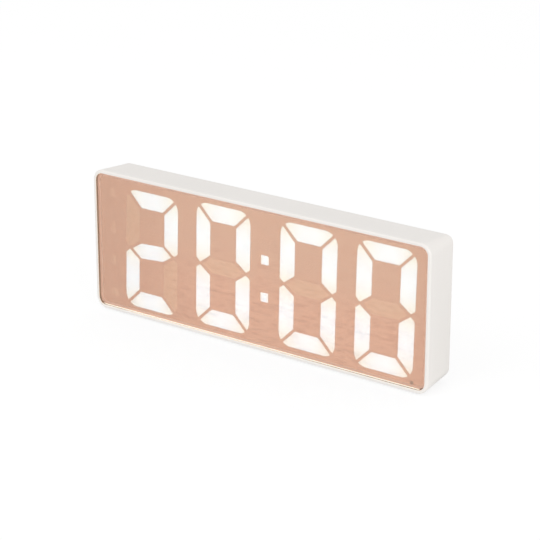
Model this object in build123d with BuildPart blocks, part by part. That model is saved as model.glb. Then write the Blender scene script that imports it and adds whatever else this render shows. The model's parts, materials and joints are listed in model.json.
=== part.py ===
from build123d import *
from dataclasses import dataclass
from math import hypot, radians, sqrt, tan
import os

os.makedirs("parts", exist_ok=True)

# Desk clock with a mirrored display panel, made of separate pieces in one frame.
# X runs to the viewer's right, Y runs from the display to the back, and Z is up.
# The origin lies under the middle of the clock, on the surface that it stands on.
# Depths are measured backwards from the front of the bezel, in millimetres.

# Housing: a tub that opens to the front, whose four sides draw in towards the back
housing_width = 160.0
housing_height = 59.6
housing_depth = 19.5
side_draft = 1.75
housing_wall = 2.0
back_wall = 1.8
bezel_width = 1.4
front_corner_radius = 4.8
front_edge_radius = 0.7
back_edge_radius = 2.2
overrun = 1.0

# Display stack, from the front: clear panel, mirror film, mask, tape, reflector, board
panel_sink = 0.15
panel_thickness = 2.0
panel_clearance = 0.1
film_thickness = 0.1
film_margin = 0.25
mask_thickness = 0.25
tape_thickness = 0.15
tape_width = 0.7
board_thickness = 1.2
board_clearance = 0.3

# Digits: seven bars each, with mitred gaps and leaning a little to the right
left_margin = 14.75
right_margin = 5.65
digit_margin = 2.9
pair_gap = 8.6
colon_gap = 14.0
digit_corner_radius = 5.5
digit_slant = 1.2
bar_width = 7.0
bar_gap = 1.2
waist_tip_inset = 2.0
waist_tip_gap = 1.0
waist_shoulder_rise = 2.1
waist_inner_rise = 4.2
middle_bar_height = 6.4
first_digit_shift = 0.7
first_digit_drop = 1.0
first_digit_shrink = 1.0
first_digit_slant = 1.9
first_middle_lean = 0.38

# Colon, indicator windows at the left margin, and the light sensor's window
colon_side = 3.85
colon_pitch = 15.4
icon_margin = 7.5
icon_inset = 4.05
icon_drop = 0.6
icon_size = 3.8
icon_stroke = 0.7
sensor_window_radius = 0.7
sensor_from_side = 6.2
sensor_from_bottom = 2.5

# Lenses in the reflector's pockets, and the lamps on the board behind them
lens_thickness = 1.2
lens_lap = 0.2
lens_clearance = 0.05
well_step = 0.4
lamp_length = 2.0
lamp_width = 1.6
lamp_height = 0.8
lamp_across_share = 0.3
lamp_upright_share = 0.16

# AAA cells in a bay that stands out of the back, as many as fit under the controls
cell_radius = 5.25
cell_length = 44.5
cell_nub_radius = 1.9
cell_nub_length = 1.0
cell_edge_radius = 0.5
cell_gap = 0.4
contact_thickness = 0.4
contact_height = 8.0
contact_lap = 1.2
contact_tail_width = 2.0
dimple_radius = 2.2
dimple_rise = 0.6
leaf_reach = 2.6
leaf_width = 4.5
leaf_span = 7.0
bay_wall = 1.6
bay_floor = 1.2
board_to_bay = 1.6
pod_wall = 2.6
pod_flare = 1.2
pod_edge_radius = 0.7
pod_corner_radius = 3.0
pod_lift = 3.0

# Battery door, held by tongues that slide in grooves along the bay
door_thickness = 1.6
door_lap = 0.8
door_gap = 0.1
door_side_gap = 0.15
tongue_width = 0.7
tongue_thickness = 0.6
groove_clearance = 0.15
grip_count = 5
grip_pitch = 2.0
grip_width = 1.0
grip_depth = 0.4
grip_length = 14.0
grip_inset = 5.0

# Control board, keys, slide switch and power socket in a row above the bay
control_board_height = 11.0
control_board_drop = 1.0
control_board_end = 2.8
board_gap = 2.0
row_gap = 0.3
key_count = 5
key_pitch = 15.0
key_width = 9.0
key_height = 5.0
key_corner_radius = 1.4
key_proud = 1.0
key_edge_radius = 0.4
key_clearance = 0.15
key_flange = 1.0
key_flange_lap = 0.8
key_flange_gap = 0.1
tact_side = 6.0
tact_height = 3.5
tact_edge_chamfer = 0.4
plunger_radius = 1.7
plunger_height = 0.7
plunger_depth = 1.0
plunger_clearance = 0.06
plunger_floor_gap = 0.2
key_travel = 0.3
switch_from_screw = 2.0
switch_width = 9.0
switch_height = 4.0
switch_depth = 3.6
switch_wall = 0.4
knob_width = 3.0
knob_height = 1.8
knob_proud = 0.9
knob_travel = 2.0
knob_clearance = 0.2
knob_foot_lap = 0.7
knob_foot = 1.2
socket_from_screw = 2.53
socket_width = 8.94
socket_height = 3.26
socket_shell = 0.3
socket_sink = 0.3
socket_clearance = 0.2
socket_base = 1.8
tongue_board_width = 6.7
tongue_board_height = 0.7
tongue_board_sink = 1.0

# Screws and the bosses that they go into
screw_radius = 1.0
screw_head_radius = 1.9
screw_head_height = 1.2
screw_cross_width = 0.5
screw_cross_length = 2.2
screw_cross_depth = 0.6
screw_clearance = 0.15
boss_radius = 2.5
boss_pilot_clearance = 0.02
frame_screw_end_gap = 1.85
frame_screw_from_row = 4.2
frame_screw_from_edge = 5.2
control_screw_length = 4.5
control_screw_from_key = 0.7

# Parts on the back of the display board and on the control board
buzzer_radius = 6.0
buzzer_height = 5.5
buzzer_from_side = 18.0
buzzer_drop = 12.0
buzzer_port_radius = 1.0
sound_hole_radius = 0.7
sound_hole_count = 6
coin_radius = 10.0
coin_thickness = 3.2
coin_step = 0.6
coin_holder_wall = 1.2
coin_holder_floor = 0.8
coin_from_side = 22.0
coin_drop = 6.0
coin_clearance = 0.1
clip_width = 6.0
clip_thickness = 0.3
chip_height = 1.3
chip_lead_pitch = 0.8
chip_lead_width = 0.35
chip_lead_reach = 1.0
chip_lead_thickness = 0.3
clock_chip_side = 9.0
clock_chip_lead_count = 8
clock_chip_from_screw = 11.5
clock_chip_drop = 2.0
driver_chip_width = 5.3
driver_chip_length = 10.2
driver_chip_lead_count = 10
driver_chip_from_screw = 8.0
driver_chip_drop = 10.0
crystal_radius = 1.0
crystal_length = 6.0
crystal_from_screw = 3.5
crystal_drop = 14.0
small_part_length = 2.0
small_part_width = 1.25
small_part_height = 0.8
small_part_columns = 5
small_part_rows = 3
small_part_pitch = 3.2
small_parts_from_screw = 12.5
small_parts_from_edge = 4.7
header_pin_count = 8
header_width = 4.0
header_from_middle = 6.0
probe_radius = 1.2
probe_height = 1.8
probe_from_switch = 1.8

# Feet that make up for the slope of the underside
foot_rise = 0.6
foot_length = 14.0
foot_from_end = 22.0
foot_depth = 4.5
front_foot_from_front = 2.5
rear_foot_from_back = 2.9
foot_edge_radius = 0.8

# Depths of the controls, forward from the back wall
inner_back = housing_depth - back_wall
key_seat = inner_back - key_flange_gap - key_flange
tact_back = key_seat - plunger_height
control_back = tact_back - tact_height
control_front = control_back - board_thickness
board_back = control_front - board_gap
board_depth = board_back - board_thickness

# Depths of the display stack, whose reflector fills the room in front of its board
film_depth = panel_sink + panel_thickness
mask_depth = film_depth + film_thickness
reflector_depth = mask_depth + mask_thickness
ledge_depth = reflector_depth + tape_thickness
reflector_thickness = board_depth - reflector_depth

# Depths of the battery bay, which give the depth of the whole clock
bay_front = board_back + board_to_bay
bay_inside = bay_front + bay_floor
cell_axis = bay_inside + cell_gap + cell_radius
door_front = cell_axis + cell_radius + cell_gap
door_seat = door_front - door_gap
total_depth = door_front + door_thickness
cell_pitch = 2 * cell_radius + cell_gap

# Height of the battery bay, which stands on the pod's lower wall and ends under the controls
pod_bottom = pod_lift + side_draft + pod_flare
row_inset = housing_wall + side_draft * control_back / housing_depth + control_board_drop
row_bottom = housing_height - row_inset - control_board_height
bay_room = row_bottom - row_gap - bay_wall - pod_wall - pod_bottom
cell_count = int((bay_room - cell_gap) / cell_pitch)
bay_height = cell_count * cell_pitch + cell_gap
bay_length = cell_length + 2 * contact_thickness + dimple_rise + leaf_reach
pod_height = bay_height + 2 * pod_wall
pod_width = bay_length + 2 * pod_wall
pod_v = pod_bottom + pod_height / 2 - housing_height / 2

# The frame that all pieces share
front_y = -total_depth / 2
middle_z = foot_rise + housing_height / 2


def face_plane(depth):
    """Plane parallel to the display, centred on it and facing the viewer, at a depth."""
    return Plane(origin=(0, front_y + depth, middle_z), x_dir=(1, 0, 0), z_dir=(0, -1, 0))


def side_inset(depth):
    """How far the housing's sides have drawn in at a depth."""
    return side_draft * depth / housing_depth


def cavity_width(depth):
    """Width between the side walls at a depth."""
    return housing_width - 2 * (housing_wall + side_inset(depth))


def cavity_height(depth):
    """Height between the top and bottom walls at a depth."""
    return housing_height - 2 * (housing_wall + side_inset(depth))


def cavity_corner(depth):
    """Corner radius of the cavity at a depth."""
    return front_corner_radius - housing_wall - side_inset(depth)


def save(piece, name):
    """Label a finished piece and write it as its own STEP file."""
    piece.part.label = name
    export_step(piece.part, f"parts/{name}.step")


pocket_width = housing_width - 2 * bezel_width
pocket_height = housing_height - 2 * bezel_width
pocket_corner = front_corner_radius - bezel_width
panel_width = pocket_width - 2 * panel_clearance
panel_height = pocket_height - 2 * panel_clearance
panel_corner = pocket_corner - panel_clearance
film_width = panel_width - 2 * film_margin
film_height = panel_height - 2 * film_margin
film_corner = panel_corner - film_margin
board_width = cavity_width(board_back) - 2 * board_clearance
board_height = cavity_height(board_back) - 2 * board_clearance
board_corner = cavity_corner(board_back)
reflector_width = cavity_width(board_depth) - 2 * board_clearance
reflector_height = cavity_height(board_depth) - 2 * board_clearance

# Digits, which fill the panel between its margins
digit_width = (pocket_width - left_margin - right_margin - 2 * pair_gap - colon_gap) / 4
digit_height = pocket_height - 2 * digit_margin
display_shift = (left_margin - right_margin) / 2
middle_pitch = digit_width + colon_gap
outer_pitch = digit_width + pair_gap
icon_pitch = (digit_height - 2 * icon_inset) / 3


@dataclass(frozen=True)
class Digit:
    """Place, height and lean of one digit, and which of its seven bars are lit."""

    centre_x: float
    centre_v: float
    height: float
    slant: float
    middle_lean: float
    lit: str
    dark: str


digits = (
    Digit(
        display_shift - middle_pitch / 2 - outer_pitch - first_digit_shift,
        -first_digit_drop,
        digit_height - first_digit_shrink,
        first_digit_slant,
        first_middle_lean,
        "ABDEG",
        "CF",
    ),
    Digit(display_shift - middle_pitch / 2, 0, digit_height, digit_slant, 0, "ABCDEF", "G"),
    Digit(display_shift + middle_pitch / 2, 0, digit_height, digit_slant, 0, "ABCDEF", "G"),
    Digit(
        display_shift + middle_pitch / 2 + outer_pitch,
        0,
        digit_height,
        digit_slant,
        0,
        "ABCDEF",
        "G",
    ),
)


def leaned(digit, points):
    """Points measured from a digit's centre, moved to the face and leaned to the right."""
    lean = tan(radians(digit.slant))
    return [(digit.centre_x + x + v * lean, digit.centre_v + v) for x, v in points]


def bar_corners(letter, digit):
    """Corners of one bar, lettered clockwise from the top with the middle bar as G."""
    right = digit_width / 2
    top = digit.height / 2
    inner_x = right - bar_width
    inner_v = top - bar_width
    mitre = bar_gap / sqrt(2)
    waist_slope = (waist_inner_rise - waist_tip_gap / 2) / (bar_width - waist_tip_inset)
    waist_drop = bar_gap * hypot(1, waist_slope)
    tip_x = right - waist_tip_inset - (waist_drop - waist_tip_gap / 2) / waist_slope
    half = middle_bar_height / 2
    shoulder_x = tip_x - half / waist_slope
    lean = digit.middle_lean
    upper_right = [
        (right, top - mitre),
        (inner_x, inner_v - mitre),
        (inner_x, waist_inner_rise),
        (right - waist_tip_inset, waist_tip_gap / 2),
        (right, waist_shoulder_rise),
    ]
    top_bar = [
        (mitre - right, top),
        (right - mitre, top),
        (inner_x - mitre, inner_v),
        (mitre - inner_x, inner_v),
    ]
    corners = {
        "A": top_bar,
        "B": upper_right,
        "C": [(x, -v) for x, v in upper_right],
        "D": [(x, -v) for x, v in top_bar],
        "E": [(-x, -v) for x, v in upper_right],
        "F": [(-x, v) for x, v in upper_right],
        "G": [
            (-tip_x, 0),
            (-shoulder_x, half - lean),
            (shoulder_x, half + lean),
            (tip_x, 0),
            (shoulder_x, lean - half),
            (-shoulder_x, -lean - half),
        ],
    }
    return leaned(digit, corners[letter])


def digit_bars(digit, letters, grow):
    """The lettered bars of a digit as flat faces, each grown by a margin."""
    right = digit_width / 2
    top = digit.height / 2
    with BuildSketch() as bars:
        with BuildLine():
            Polyline(*leaned(digit, [(-right, -top), (right, -top), (right, top), (-right, top)]), close=True)
        make_face()
        fillet(bars.vertices(), digit_corner_radius)
        with BuildSketch(mode=Mode.INTERSECT):
            for letter in letters:
                with BuildLine():
                    Polyline(*bar_corners(letter, digit), close=True)
                make_face()
        if grow:
            offset(amount=grow, kind=Kind.INTERSECTION)
    return bars.sketch


colon_lean = tan(radians(digit_slant))
colon_places = [
    (display_shift + side * colon_lean * colon_pitch / 2, side * colon_pitch / 2) for side in (1, -1)
]
icon_x = icon_margin - panel_width / 2
icon_places = [(icon_x, (1.5 - row) * icon_pitch - icon_drop) for row in range(4)]
sensor_place = (panel_width / 2 - sensor_from_side, sensor_from_bottom - panel_height / 2)


def colon_faces(grow):
    """The colon's two squares, each grown by a margin."""
    with BuildSketch() as squares:
        with Locations(*colon_places):
            Rectangle(colon_side + 2 * grow, colon_side + 2 * grow)
    return squares.sketch


def icon_faces():
    """Four small indicator windows: a bell, a thermometer, a microphone and a disc."""
    bell, thermometer, microphone, disc = icon_places
    radius = icon_size / 2
    with BuildSketch() as icons:
        with Locations((bell[0], bell[1] + icon_stroke)):
            Circle(radius - icon_stroke)
        with Locations(bell):
            Rectangle(2 * (radius - icon_stroke), 2 * icon_stroke)
        with Locations((bell[0], bell[1] - radius + icon_stroke / 2)):
            Rectangle(icon_size, icon_stroke)
        with Locations((bell[0], bell[1] - radius / 2)):
            Rectangle(icon_size - 2 * icon_stroke, radius)
        with Locations(thermometer):
            SlotOverall(icon_size + icon_stroke, 2 * icon_stroke, rotation=90)
        with Locations((thermometer[0], thermometer[1] - radius + icon_stroke / 2)):
            Circle(2 * icon_stroke)
        with Locations(microphone):
            SlotOverall(icon_size, 2 * icon_stroke, rotation=90)
        with Locations((microphone[0], microphone[1] - radius)):
            Rectangle(icon_size - 2 * icon_stroke, icon_stroke)
        with Locations(disc):
            Circle(radius)
    return icons.sketch


all_bars = "ABCDEFG"
screw_x = [
    (digits[0].centre_x + digits[1].centre_x) / 2,
    (digits[2].centre_x + digits[3].centre_x) / 2,
]
control_v = row_bottom + control_board_height / 2 - housing_height / 2
frame_screw_top = control_v - control_board_height / 2 - frame_screw_from_row - boss_radius
frame_screw_bottom = frame_screw_from_edge - board_height / 2
frame_screw_places = [(x, v) for x in screw_x for v in (frame_screw_top, frame_screw_bottom)]
frame_screw_front = reflector_depth + screw_clearance
frame_screw_length = inner_back - frame_screw_end_gap - frame_screw_front - screw_head_height

# The row of controls, outward from the middle: keys, screws, then the switch and the socket
key_places = [((index - (key_count - 1) / 2) * key_pitch, control_v) for index in range(key_count)]
key_row_end = key_places[-1][0] + key_width / 2 + key_flange_lap
control_screw_x = key_row_end + control_screw_from_key + boss_radius
control_screw_places = [(side * control_screw_x, control_v) for side in (-1, 1)]
switch_x = control_screw_x + boss_radius + switch_from_screw + switch_width / 2
switch_place = (switch_x, control_v)
socket_place = (-control_screw_x - boss_radius - socket_from_screw - socket_width / 2, control_v)
probe_place = (switch_x + switch_width / 2 + probe_from_switch + probe_radius, control_v)
control_board_width = 2 * (probe_place[0] + probe_radius + control_board_end)

# Places on the back of the display board
buzzer_place = (buzzer_from_side - housing_width / 2, -buzzer_drop)
coin_place = (housing_width / 2 - coin_from_side, -coin_drop)
clock_chip_place = (screw_x[0] - clock_chip_from_screw, -clock_chip_drop)
driver_chip_place = (screw_x[1] - driver_chip_from_screw, -driver_chip_drop)
crystal_x = screw_x[0] - crystal_from_screw
small_parts_place = (screw_x[0] - small_parts_from_screw, small_parts_from_edge - board_height / 2)

# Rows of cells, and the ends of the bay where the first and the last row meet the board
cell_places = [pod_v + ((cell_count - 1) / 2 - row) * cell_pitch for row in range(cell_count)]
tail_x = bay_length / 2 - contact_thickness / 2
last_tail_side = -1 if cell_count % 2 else 1
tail_places = [(tail_x, cell_places[0]), (last_tail_side * tail_x, cell_places[-1])]

# Housing
with BuildPart() as housing:
    with BuildSketch(face_plane(0)):
        RectangleRounded(housing_width, housing_height, front_corner_radius)
    with BuildSketch(face_plane(housing_depth)):
        RectangleRounded(
            housing_width - 2 * side_draft,
            housing_height - 2 * side_draft,
            front_corner_radius - side_draft,
        )
    loft(ruled=True)
    fillet(housing.faces().sort_by(Axis.Y)[0].edges(), front_edge_radius)
    fillet(housing.faces().sort_by(Axis.Y)[-1].edges(), back_edge_radius)
    # Pocket for the panel, down to the ledge
    with BuildSketch(face_plane(0)):
        RectangleRounded(pocket_width, pocket_height, pocket_corner)
    extrude(amount=-ledge_depth, mode=Mode.SUBTRACT)
    # Cavity behind the ledge
    with BuildSketch(face_plane(ledge_depth)):
        RectangleRounded(cavity_width(ledge_depth), cavity_height(ledge_depth), cavity_corner(ledge_depth))
    with BuildSketch(face_plane(inner_back)):
        RectangleRounded(cavity_width(inner_back), cavity_height(inner_back), cavity_corner(inner_back))
    loft(ruled=True, mode=Mode.SUBTRACT)
    # Pod that stands out of the back, and the walls of the bay inside the tub
    with BuildSketch(face_plane(housing_depth)):
        with Locations((0, pod_v)):
            RectangleRounded(
                pod_width + 2 * pod_flare, pod_height + 2 * pod_flare, pod_corner_radius + pod_flare
            )
    with BuildSketch(face_plane(total_depth)):
        with Locations((0, pod_v)):
            RectangleRounded(pod_width, pod_height, pod_corner_radius)
    loft(ruled=True)
    fillet(housing.faces().sort_by(Axis.Y)[-1].edges(), pod_edge_radius)
    with BuildSketch(face_plane(bay_front)):
        with Locations((0, pod_v)):
            Rectangle(bay_length + 2 * bay_wall, bay_height + 2 * bay_wall)
    extrude(amount=bay_front - housing_depth)
    # Bosses for the screws
    with BuildSketch(face_plane(board_back)):
        with Locations(*frame_screw_places):
            Circle(boss_radius)
    extrude(amount=board_back - inner_back)
    with BuildSketch(face_plane(control_back)):
        with Locations(*control_screw_places):
            Circle(boss_radius)
    extrude(amount=control_back - inner_back)
    with BuildSketch(face_plane(board_back)):
        with Locations(*frame_screw_places):
            Circle(screw_radius + boss_pilot_clearance)
    extrude(amount=board_back - inner_back, mode=Mode.SUBTRACT)
    with BuildSketch(face_plane(control_back)):
        with Locations(*control_screw_places):
            Circle(screw_radius + boss_pilot_clearance)
    extrude(amount=control_back - inner_back, mode=Mode.SUBTRACT)
    # Inside of the bay
    with BuildSketch(face_plane(bay_inside)):
        with Locations((0, pod_v)):
            Rectangle(bay_length, bay_height)
    extrude(amount=bay_inside - total_depth - overrun, mode=Mode.SUBTRACT)
    # Seat of the door, open at the viewer's left end, with a groove above and below
    seat_length = bay_length / 2 + door_lap + pod_width / 2 + overrun
    seat_x = bay_length / 2 + door_lap - seat_length / 2
    with BuildSketch(face_plane(door_seat)):
        with Locations((seat_x, pod_v)):
            Rectangle(seat_length, bay_height + 2 * door_lap)
    extrude(amount=door_seat - total_depth - overrun, mode=Mode.SUBTRACT)
    with BuildSketch(face_plane(door_seat)):
        with Locations((seat_x, pod_v)):
            Rectangle(seat_length, bay_height + 2 * (door_lap + tongue_width + groove_clearance))
    extrude(amount=-(door_gap + tongue_thickness + groove_clearance), mode=Mode.SUBTRACT)
    # Slots in the floor of the bay for the tails of two contacts
    with BuildSketch(face_plane(bay_front - overrun)):
        with Locations(*tail_places):
            Rectangle(contact_thickness, contact_tail_width)
    extrude(amount=-(bay_floor + 2 * overrun), mode=Mode.SUBTRACT)
    # Openings in the back wall: keys, slide switch, power socket and sound holes
    with BuildSketch(face_plane(inner_back - overrun)):
        with Locations(*key_places):
            RectangleRounded(
                key_width + 2 * key_clearance, key_height + 2 * key_clearance, key_corner_radius + key_clearance
            )
        with Locations(switch_place):
            Rectangle(knob_width + knob_travel + 2 * knob_clearance, knob_height + 2 * knob_clearance)
        with Locations(socket_place):
            SlotOverall(socket_width + 2 * socket_clearance, socket_height + 2 * socket_clearance)
        with Locations(buzzer_place):
            Circle(sound_hole_radius)
            with PolarLocations(buzzer_radius / 2, sound_hole_count):
                Circle(sound_hole_radius)
    extrude(amount=-(back_wall + 2 * overrun), mode=Mode.SUBTRACT)
save(housing, "housing")

# Feet, two under the front and two under the back
for foot_name, foot_start in (
    ("front_feet", front_foot_from_front),
    ("rear_feet", housing_depth - rear_foot_from_back - foot_depth),
):
    foot_end = foot_start + foot_depth
    with BuildPart() as feet:
        for side in (-1, 1):
            with BuildSketch(Plane.YZ.offset(side * (housing_width / 2 - foot_from_end))):
                with BuildLine():
                    Polyline(
                        (front_y + foot_start, 0),
                        (front_y + foot_end, 0),
                        (front_y + foot_end, foot_rise + side_inset(foot_end)),
                        (front_y + foot_start, foot_rise + side_inset(foot_start)),
                        close=True,
                    )
                make_face()
            extrude(amount=foot_length / 2, both=True)
        upright = [
            edge
            for edge in feet.edges()
            if abs((edge @ 0 - edge @ 1).X) + abs((edge @ 0 - edge @ 1).Y) < foot_edge_radius / foot_length
        ]
        fillet(upright, foot_edge_radius)
    save(feet, foot_name)

# Clear panel
with BuildPart() as mirror_panel:
    with BuildSketch(face_plane(panel_sink)):
        RectangleRounded(panel_width, panel_height, panel_corner)
    extrude(amount=-panel_thickness)
save(mirror_panel, "mirror_panel")

# Mirror film on the back of the panel
with BuildPart() as mirror_film:
    with BuildSketch(face_plane(film_depth)):
        RectangleRounded(film_width, film_height, film_corner)
    extrude(amount=-film_thickness)
save(mirror_film, "mirror_film")

# Black mask with a window for every bar, dot, indicator and sensor
with BuildPart() as display_mask:
    with BuildSketch(face_plane(mask_depth)):
        RectangleRounded(film_width, film_height, film_corner)
    extrude(amount=-mask_thickness)
    with BuildSketch(face_plane(mask_depth)):
        for digit in digits:
            add(digit_bars(digit, all_bars, 0))
        add(colon_faces(0))
        add(icon_faces())
        with Locations(sensor_place):
            Circle(sensor_window_radius)
    extrude(amount=-mask_thickness, mode=Mode.SUBTRACT)
save(display_mask, "display_mask")

# Tape ring between the mask and the ledge
with BuildPart() as panel_tape:
    with BuildSketch(face_plane(reflector_depth)):
        RectangleRounded(film_width, film_height, film_corner)
        RectangleRounded(
            film_width - 2 * tape_width, film_height - 2 * tape_width, film_corner - tape_width, mode=Mode.SUBTRACT
        )
    extrude(amount=-tape_thickness)
save(panel_tape, "panel_tape")

# White reflector block with a pocket for each lens and a light well behind it
with BuildPart() as reflector_block:
    with BuildSketch(face_plane(reflector_depth)):
        RectangleRounded(reflector_width, reflector_height, cavity_corner(board_depth))
    extrude(amount=-reflector_thickness)
    with BuildSketch(face_plane(reflector_depth)):
        for digit in digits:
            add(digit_bars(digit, all_bars, lens_lap + lens_clearance))
        add(colon_faces(lens_lap + lens_clearance))
        with Locations(*icon_places):
            Circle(icon_size / 2 + icon_stroke + lens_clearance)
    extrude(amount=-lens_thickness, mode=Mode.SUBTRACT)
    with BuildSketch(face_plane(reflector_depth)):
        for digit in digits:
            add(digit_bars(digit, all_bars, -well_step))
        add(colon_faces(-well_step))
        with Locations(*icon_places):
            Circle(icon_size / 2)
        with Locations(sensor_place):
            Circle(sensor_window_radius)
    extrude(amount=-reflector_thickness, mode=Mode.SUBTRACT)
    with BuildSketch(face_plane(reflector_depth)):
        with Locations(*frame_screw_places):
            Circle(screw_head_radius + screw_clearance)
    extrude(amount=-(screw_head_height + screw_clearance), mode=Mode.SUBTRACT)
    with BuildSketch(face_plane(reflector_depth)):
        with Locations(*frame_screw_places):
            Circle(screw_radius + screw_clearance)
    extrude(amount=-reflector_thickness, mode=Mode.SUBTRACT)
save(reflector_block, "reflector_block")

# Lenses of each digit: the lit bars and the dark bars are separate pieces
for number, digit in enumerate(digits, start=1):
    for state, letters in (("lit", digit.lit), ("dark", digit.dark)):
        with BuildPart() as lenses:
            with BuildSketch(face_plane(reflector_depth)):
                add(digit_bars(digit, letters, lens_lap))
            extrude(amount=-lens_thickness)
        save(lenses, f"digit_{number}_{state}_lenses")

# Colon lenses
with BuildPart() as colon_lenses:
    with BuildSketch(face_plane(reflector_depth)):
        add(colon_faces(lens_lap))
    extrude(amount=-lens_thickness)
save(colon_lenses, "colon_lenses")

# Indicator lenses
with BuildPart() as icon_lenses:
    with BuildSketch(face_plane(reflector_depth)):
        with Locations(*icon_places):
            Circle(icon_size / 2 + icon_stroke)
    extrude(amount=-lens_thickness)
save(icon_lenses, "icon_lenses")

# Display board behind the reflector
with BuildPart() as display_board:
    with BuildSketch(face_plane(board_depth)):
        RectangleRounded(board_width, board_height, board_corner)
        with Locations(*frame_screw_places):
            Circle(screw_radius + screw_clearance, mode=Mode.SUBTRACT)
    extrude(amount=-board_thickness)
save(display_board, "display_board")


def cross_screws(places, head_front, shank_length):
    """Pan-head screws with a cross recess, driven backwards, with the heads' fronts at a depth."""
    with BuildPart() as screws:
        with BuildSketch(face_plane(head_front)):
            with Locations(*places):
                Circle(screw_head_radius)
        extrude(amount=-screw_head_height)
        with BuildSketch(face_plane(head_front)):
            with Locations(*places):
                Rectangle(screw_cross_length, screw_cross_width)
                Rectangle(screw_cross_width, screw_cross_length)
        extrude(amount=-screw_cross_depth, mode=Mode.SUBTRACT)
        with BuildSketch(face_plane(head_front + screw_head_height)):
            with Locations(*places):
                Circle(screw_radius)
        extrude(amount=-shank_length)
    return screws


# Screws that hold the reflector and the display board to the bosses
frame_screws = cross_screws(frame_screw_places, frame_screw_front, frame_screw_length)
save(frame_screws, "frame_screws")

# Lamps on the front of the display board
with BuildPart() as display_lamps:
    with BuildSketch(face_plane(board_depth - lamp_height)):
        for digit in digits:
            side_x = (digit_width - bar_width) / 2
            end_v = (digit.height - bar_width) / 2
            side_v = (waist_inner_rise + digit.height / 2 - bar_width) / 2
            lamp_x = lamp_across_share * digit_width / 2
            lamp_v = lamp_upright_share * digit.height / 2
            across = [(side * lamp_x, v) for side in (-1, 1) for v in (-end_v, 0, end_v)]
            upright = [
                (x, v + side * lamp_v) for x in (-side_x, side_x) for v in (-side_v, side_v) for side in (-1, 1)
            ]
            with Locations(*leaned(digit, across)):
                Rectangle(lamp_length, lamp_width)
            with Locations(*leaned(digit, upright)):
                Rectangle(lamp_width, lamp_length)
        with Locations(*colon_places, *icon_places):
            Rectangle(lamp_length, lamp_width)
    extrude(amount=-lamp_height)
save(display_lamps, "display_lamps")

# Light sensor that looks out through its own window
with BuildPart() as light_sensor:
    with BuildSketch(face_plane(mask_depth + mask_thickness)):
        with Locations(sensor_place):
            Circle(sensor_window_radius - lens_clearance)
    extrude(amount=-reflector_thickness)
save(light_sensor, "light_sensor")

# Control board
with BuildPart() as control_board:
    with BuildSketch(face_plane(control_front)):
        with Locations((0, control_v)):
            RectangleRounded(control_board_width, control_board_height, cavity_corner(control_back))
        with Locations(*control_screw_places):
            Circle(screw_radius + screw_clearance, mode=Mode.SUBTRACT)
    extrude(amount=-board_thickness)
save(control_board, "control_board")

# Screws that hold the control board to its bosses
control_screws = cross_screws(control_screw_places, control_front - screw_head_height, control_screw_length)
save(control_screws, "control_screws")

# Header that joins the two boards
with BuildPart() as board_header:
    with BuildSketch(face_plane(board_back)):
        with Locations((header_from_middle, control_v)):
            Rectangle(header_pin_count * header_width / 2, header_width)
    extrude(amount=board_back - control_front)
save(board_header, "board_header")

# Bodies of the press switches under the keys
with BuildPart() as press_switches:
    with BuildSketch(face_plane(tact_back)):
        with Locations(*key_places):
            Rectangle(tact_side, tact_side)
    extrude(amount=tact_height)
    chamfer(press_switches.faces().filter_by(Axis.Y).group_by(Axis.Y)[-1].edges(), tact_edge_chamfer)
    with BuildSketch(face_plane(tact_back)):
        with Locations(*key_places):
            Circle(plunger_radius + plunger_clearance)
    extrude(amount=plunger_depth + key_travel + plunger_floor_gap, mode=Mode.SUBTRACT)
save(press_switches, "press_switches")

# Keys and the plungers that they press
for number, place in enumerate(key_places, start=1):
    with BuildPart() as key:
        with BuildSketch(face_plane(key_seat)):
            with Locations(place):
                RectangleRounded(
                    key_width + 2 * key_flange_lap, key_height + 2 * key_flange_lap, key_corner_radius
                )
        extrude(amount=-key_flange)
        with BuildSketch(face_plane(key_seat + key_flange)):
            with Locations(place):
                RectangleRounded(key_width, key_height, key_corner_radius)
        extrude(amount=key_seat + key_flange - housing_depth - key_proud)
        fillet(key.faces().sort_by(Axis.Y)[-1].edges(), key_edge_radius)
    save(key, f"key_{number}")
    with BuildPart() as plunger:
        with BuildSketch(face_plane(key_seat)):
            with Locations(place):
                Circle(plunger_radius)
        extrude(amount=plunger_height + plunger_depth)
    save(plunger, f"plunger_{number}")

# Slide switch: a can with an open slot, and the knob that runs in it
with BuildPart() as slide_switch:
    with BuildSketch(face_plane(control_back)):
        with Locations(switch_place):
            Rectangle(switch_width, switch_height)
    extrude(amount=-switch_depth)
    with BuildSketch(face_plane(control_back + switch_wall)):
        with Locations(switch_place):
            Rectangle(switch_width - 2 * switch_wall, switch_height - 2 * switch_wall)
    extrude(amount=2 * switch_wall - switch_depth, mode=Mode.SUBTRACT)
    with BuildSketch(face_plane(control_back + switch_depth - switch_wall - overrun)):
        with Locations(switch_place):
            Rectangle(knob_width + knob_travel + 2 * knob_clearance, knob_height + 2 * knob_clearance)
    extrude(amount=-(switch_wall + 2 * overrun), mode=Mode.SUBTRACT)
save(slide_switch, "slide_switch")

knob_place = (switch_place[0] - knob_travel / 2, switch_place[1])
knob_foot_back = control_back + switch_depth - switch_wall - knob_clearance
with BuildPart() as slide_knob:
    with BuildSketch(face_plane(knob_foot_back)):
        with Locations(knob_place):
            Rectangle(knob_width, knob_height + 2 * knob_foot_lap)
    extrude(amount=knob_foot)
    with BuildSketch(face_plane(knob_foot_back)):
        with Locations(knob_place):
            Rectangle(knob_width, knob_height)
    extrude(amount=knob_foot_back - housing_depth - knob_proud)
save(slide_knob, "slide_knob")

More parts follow.
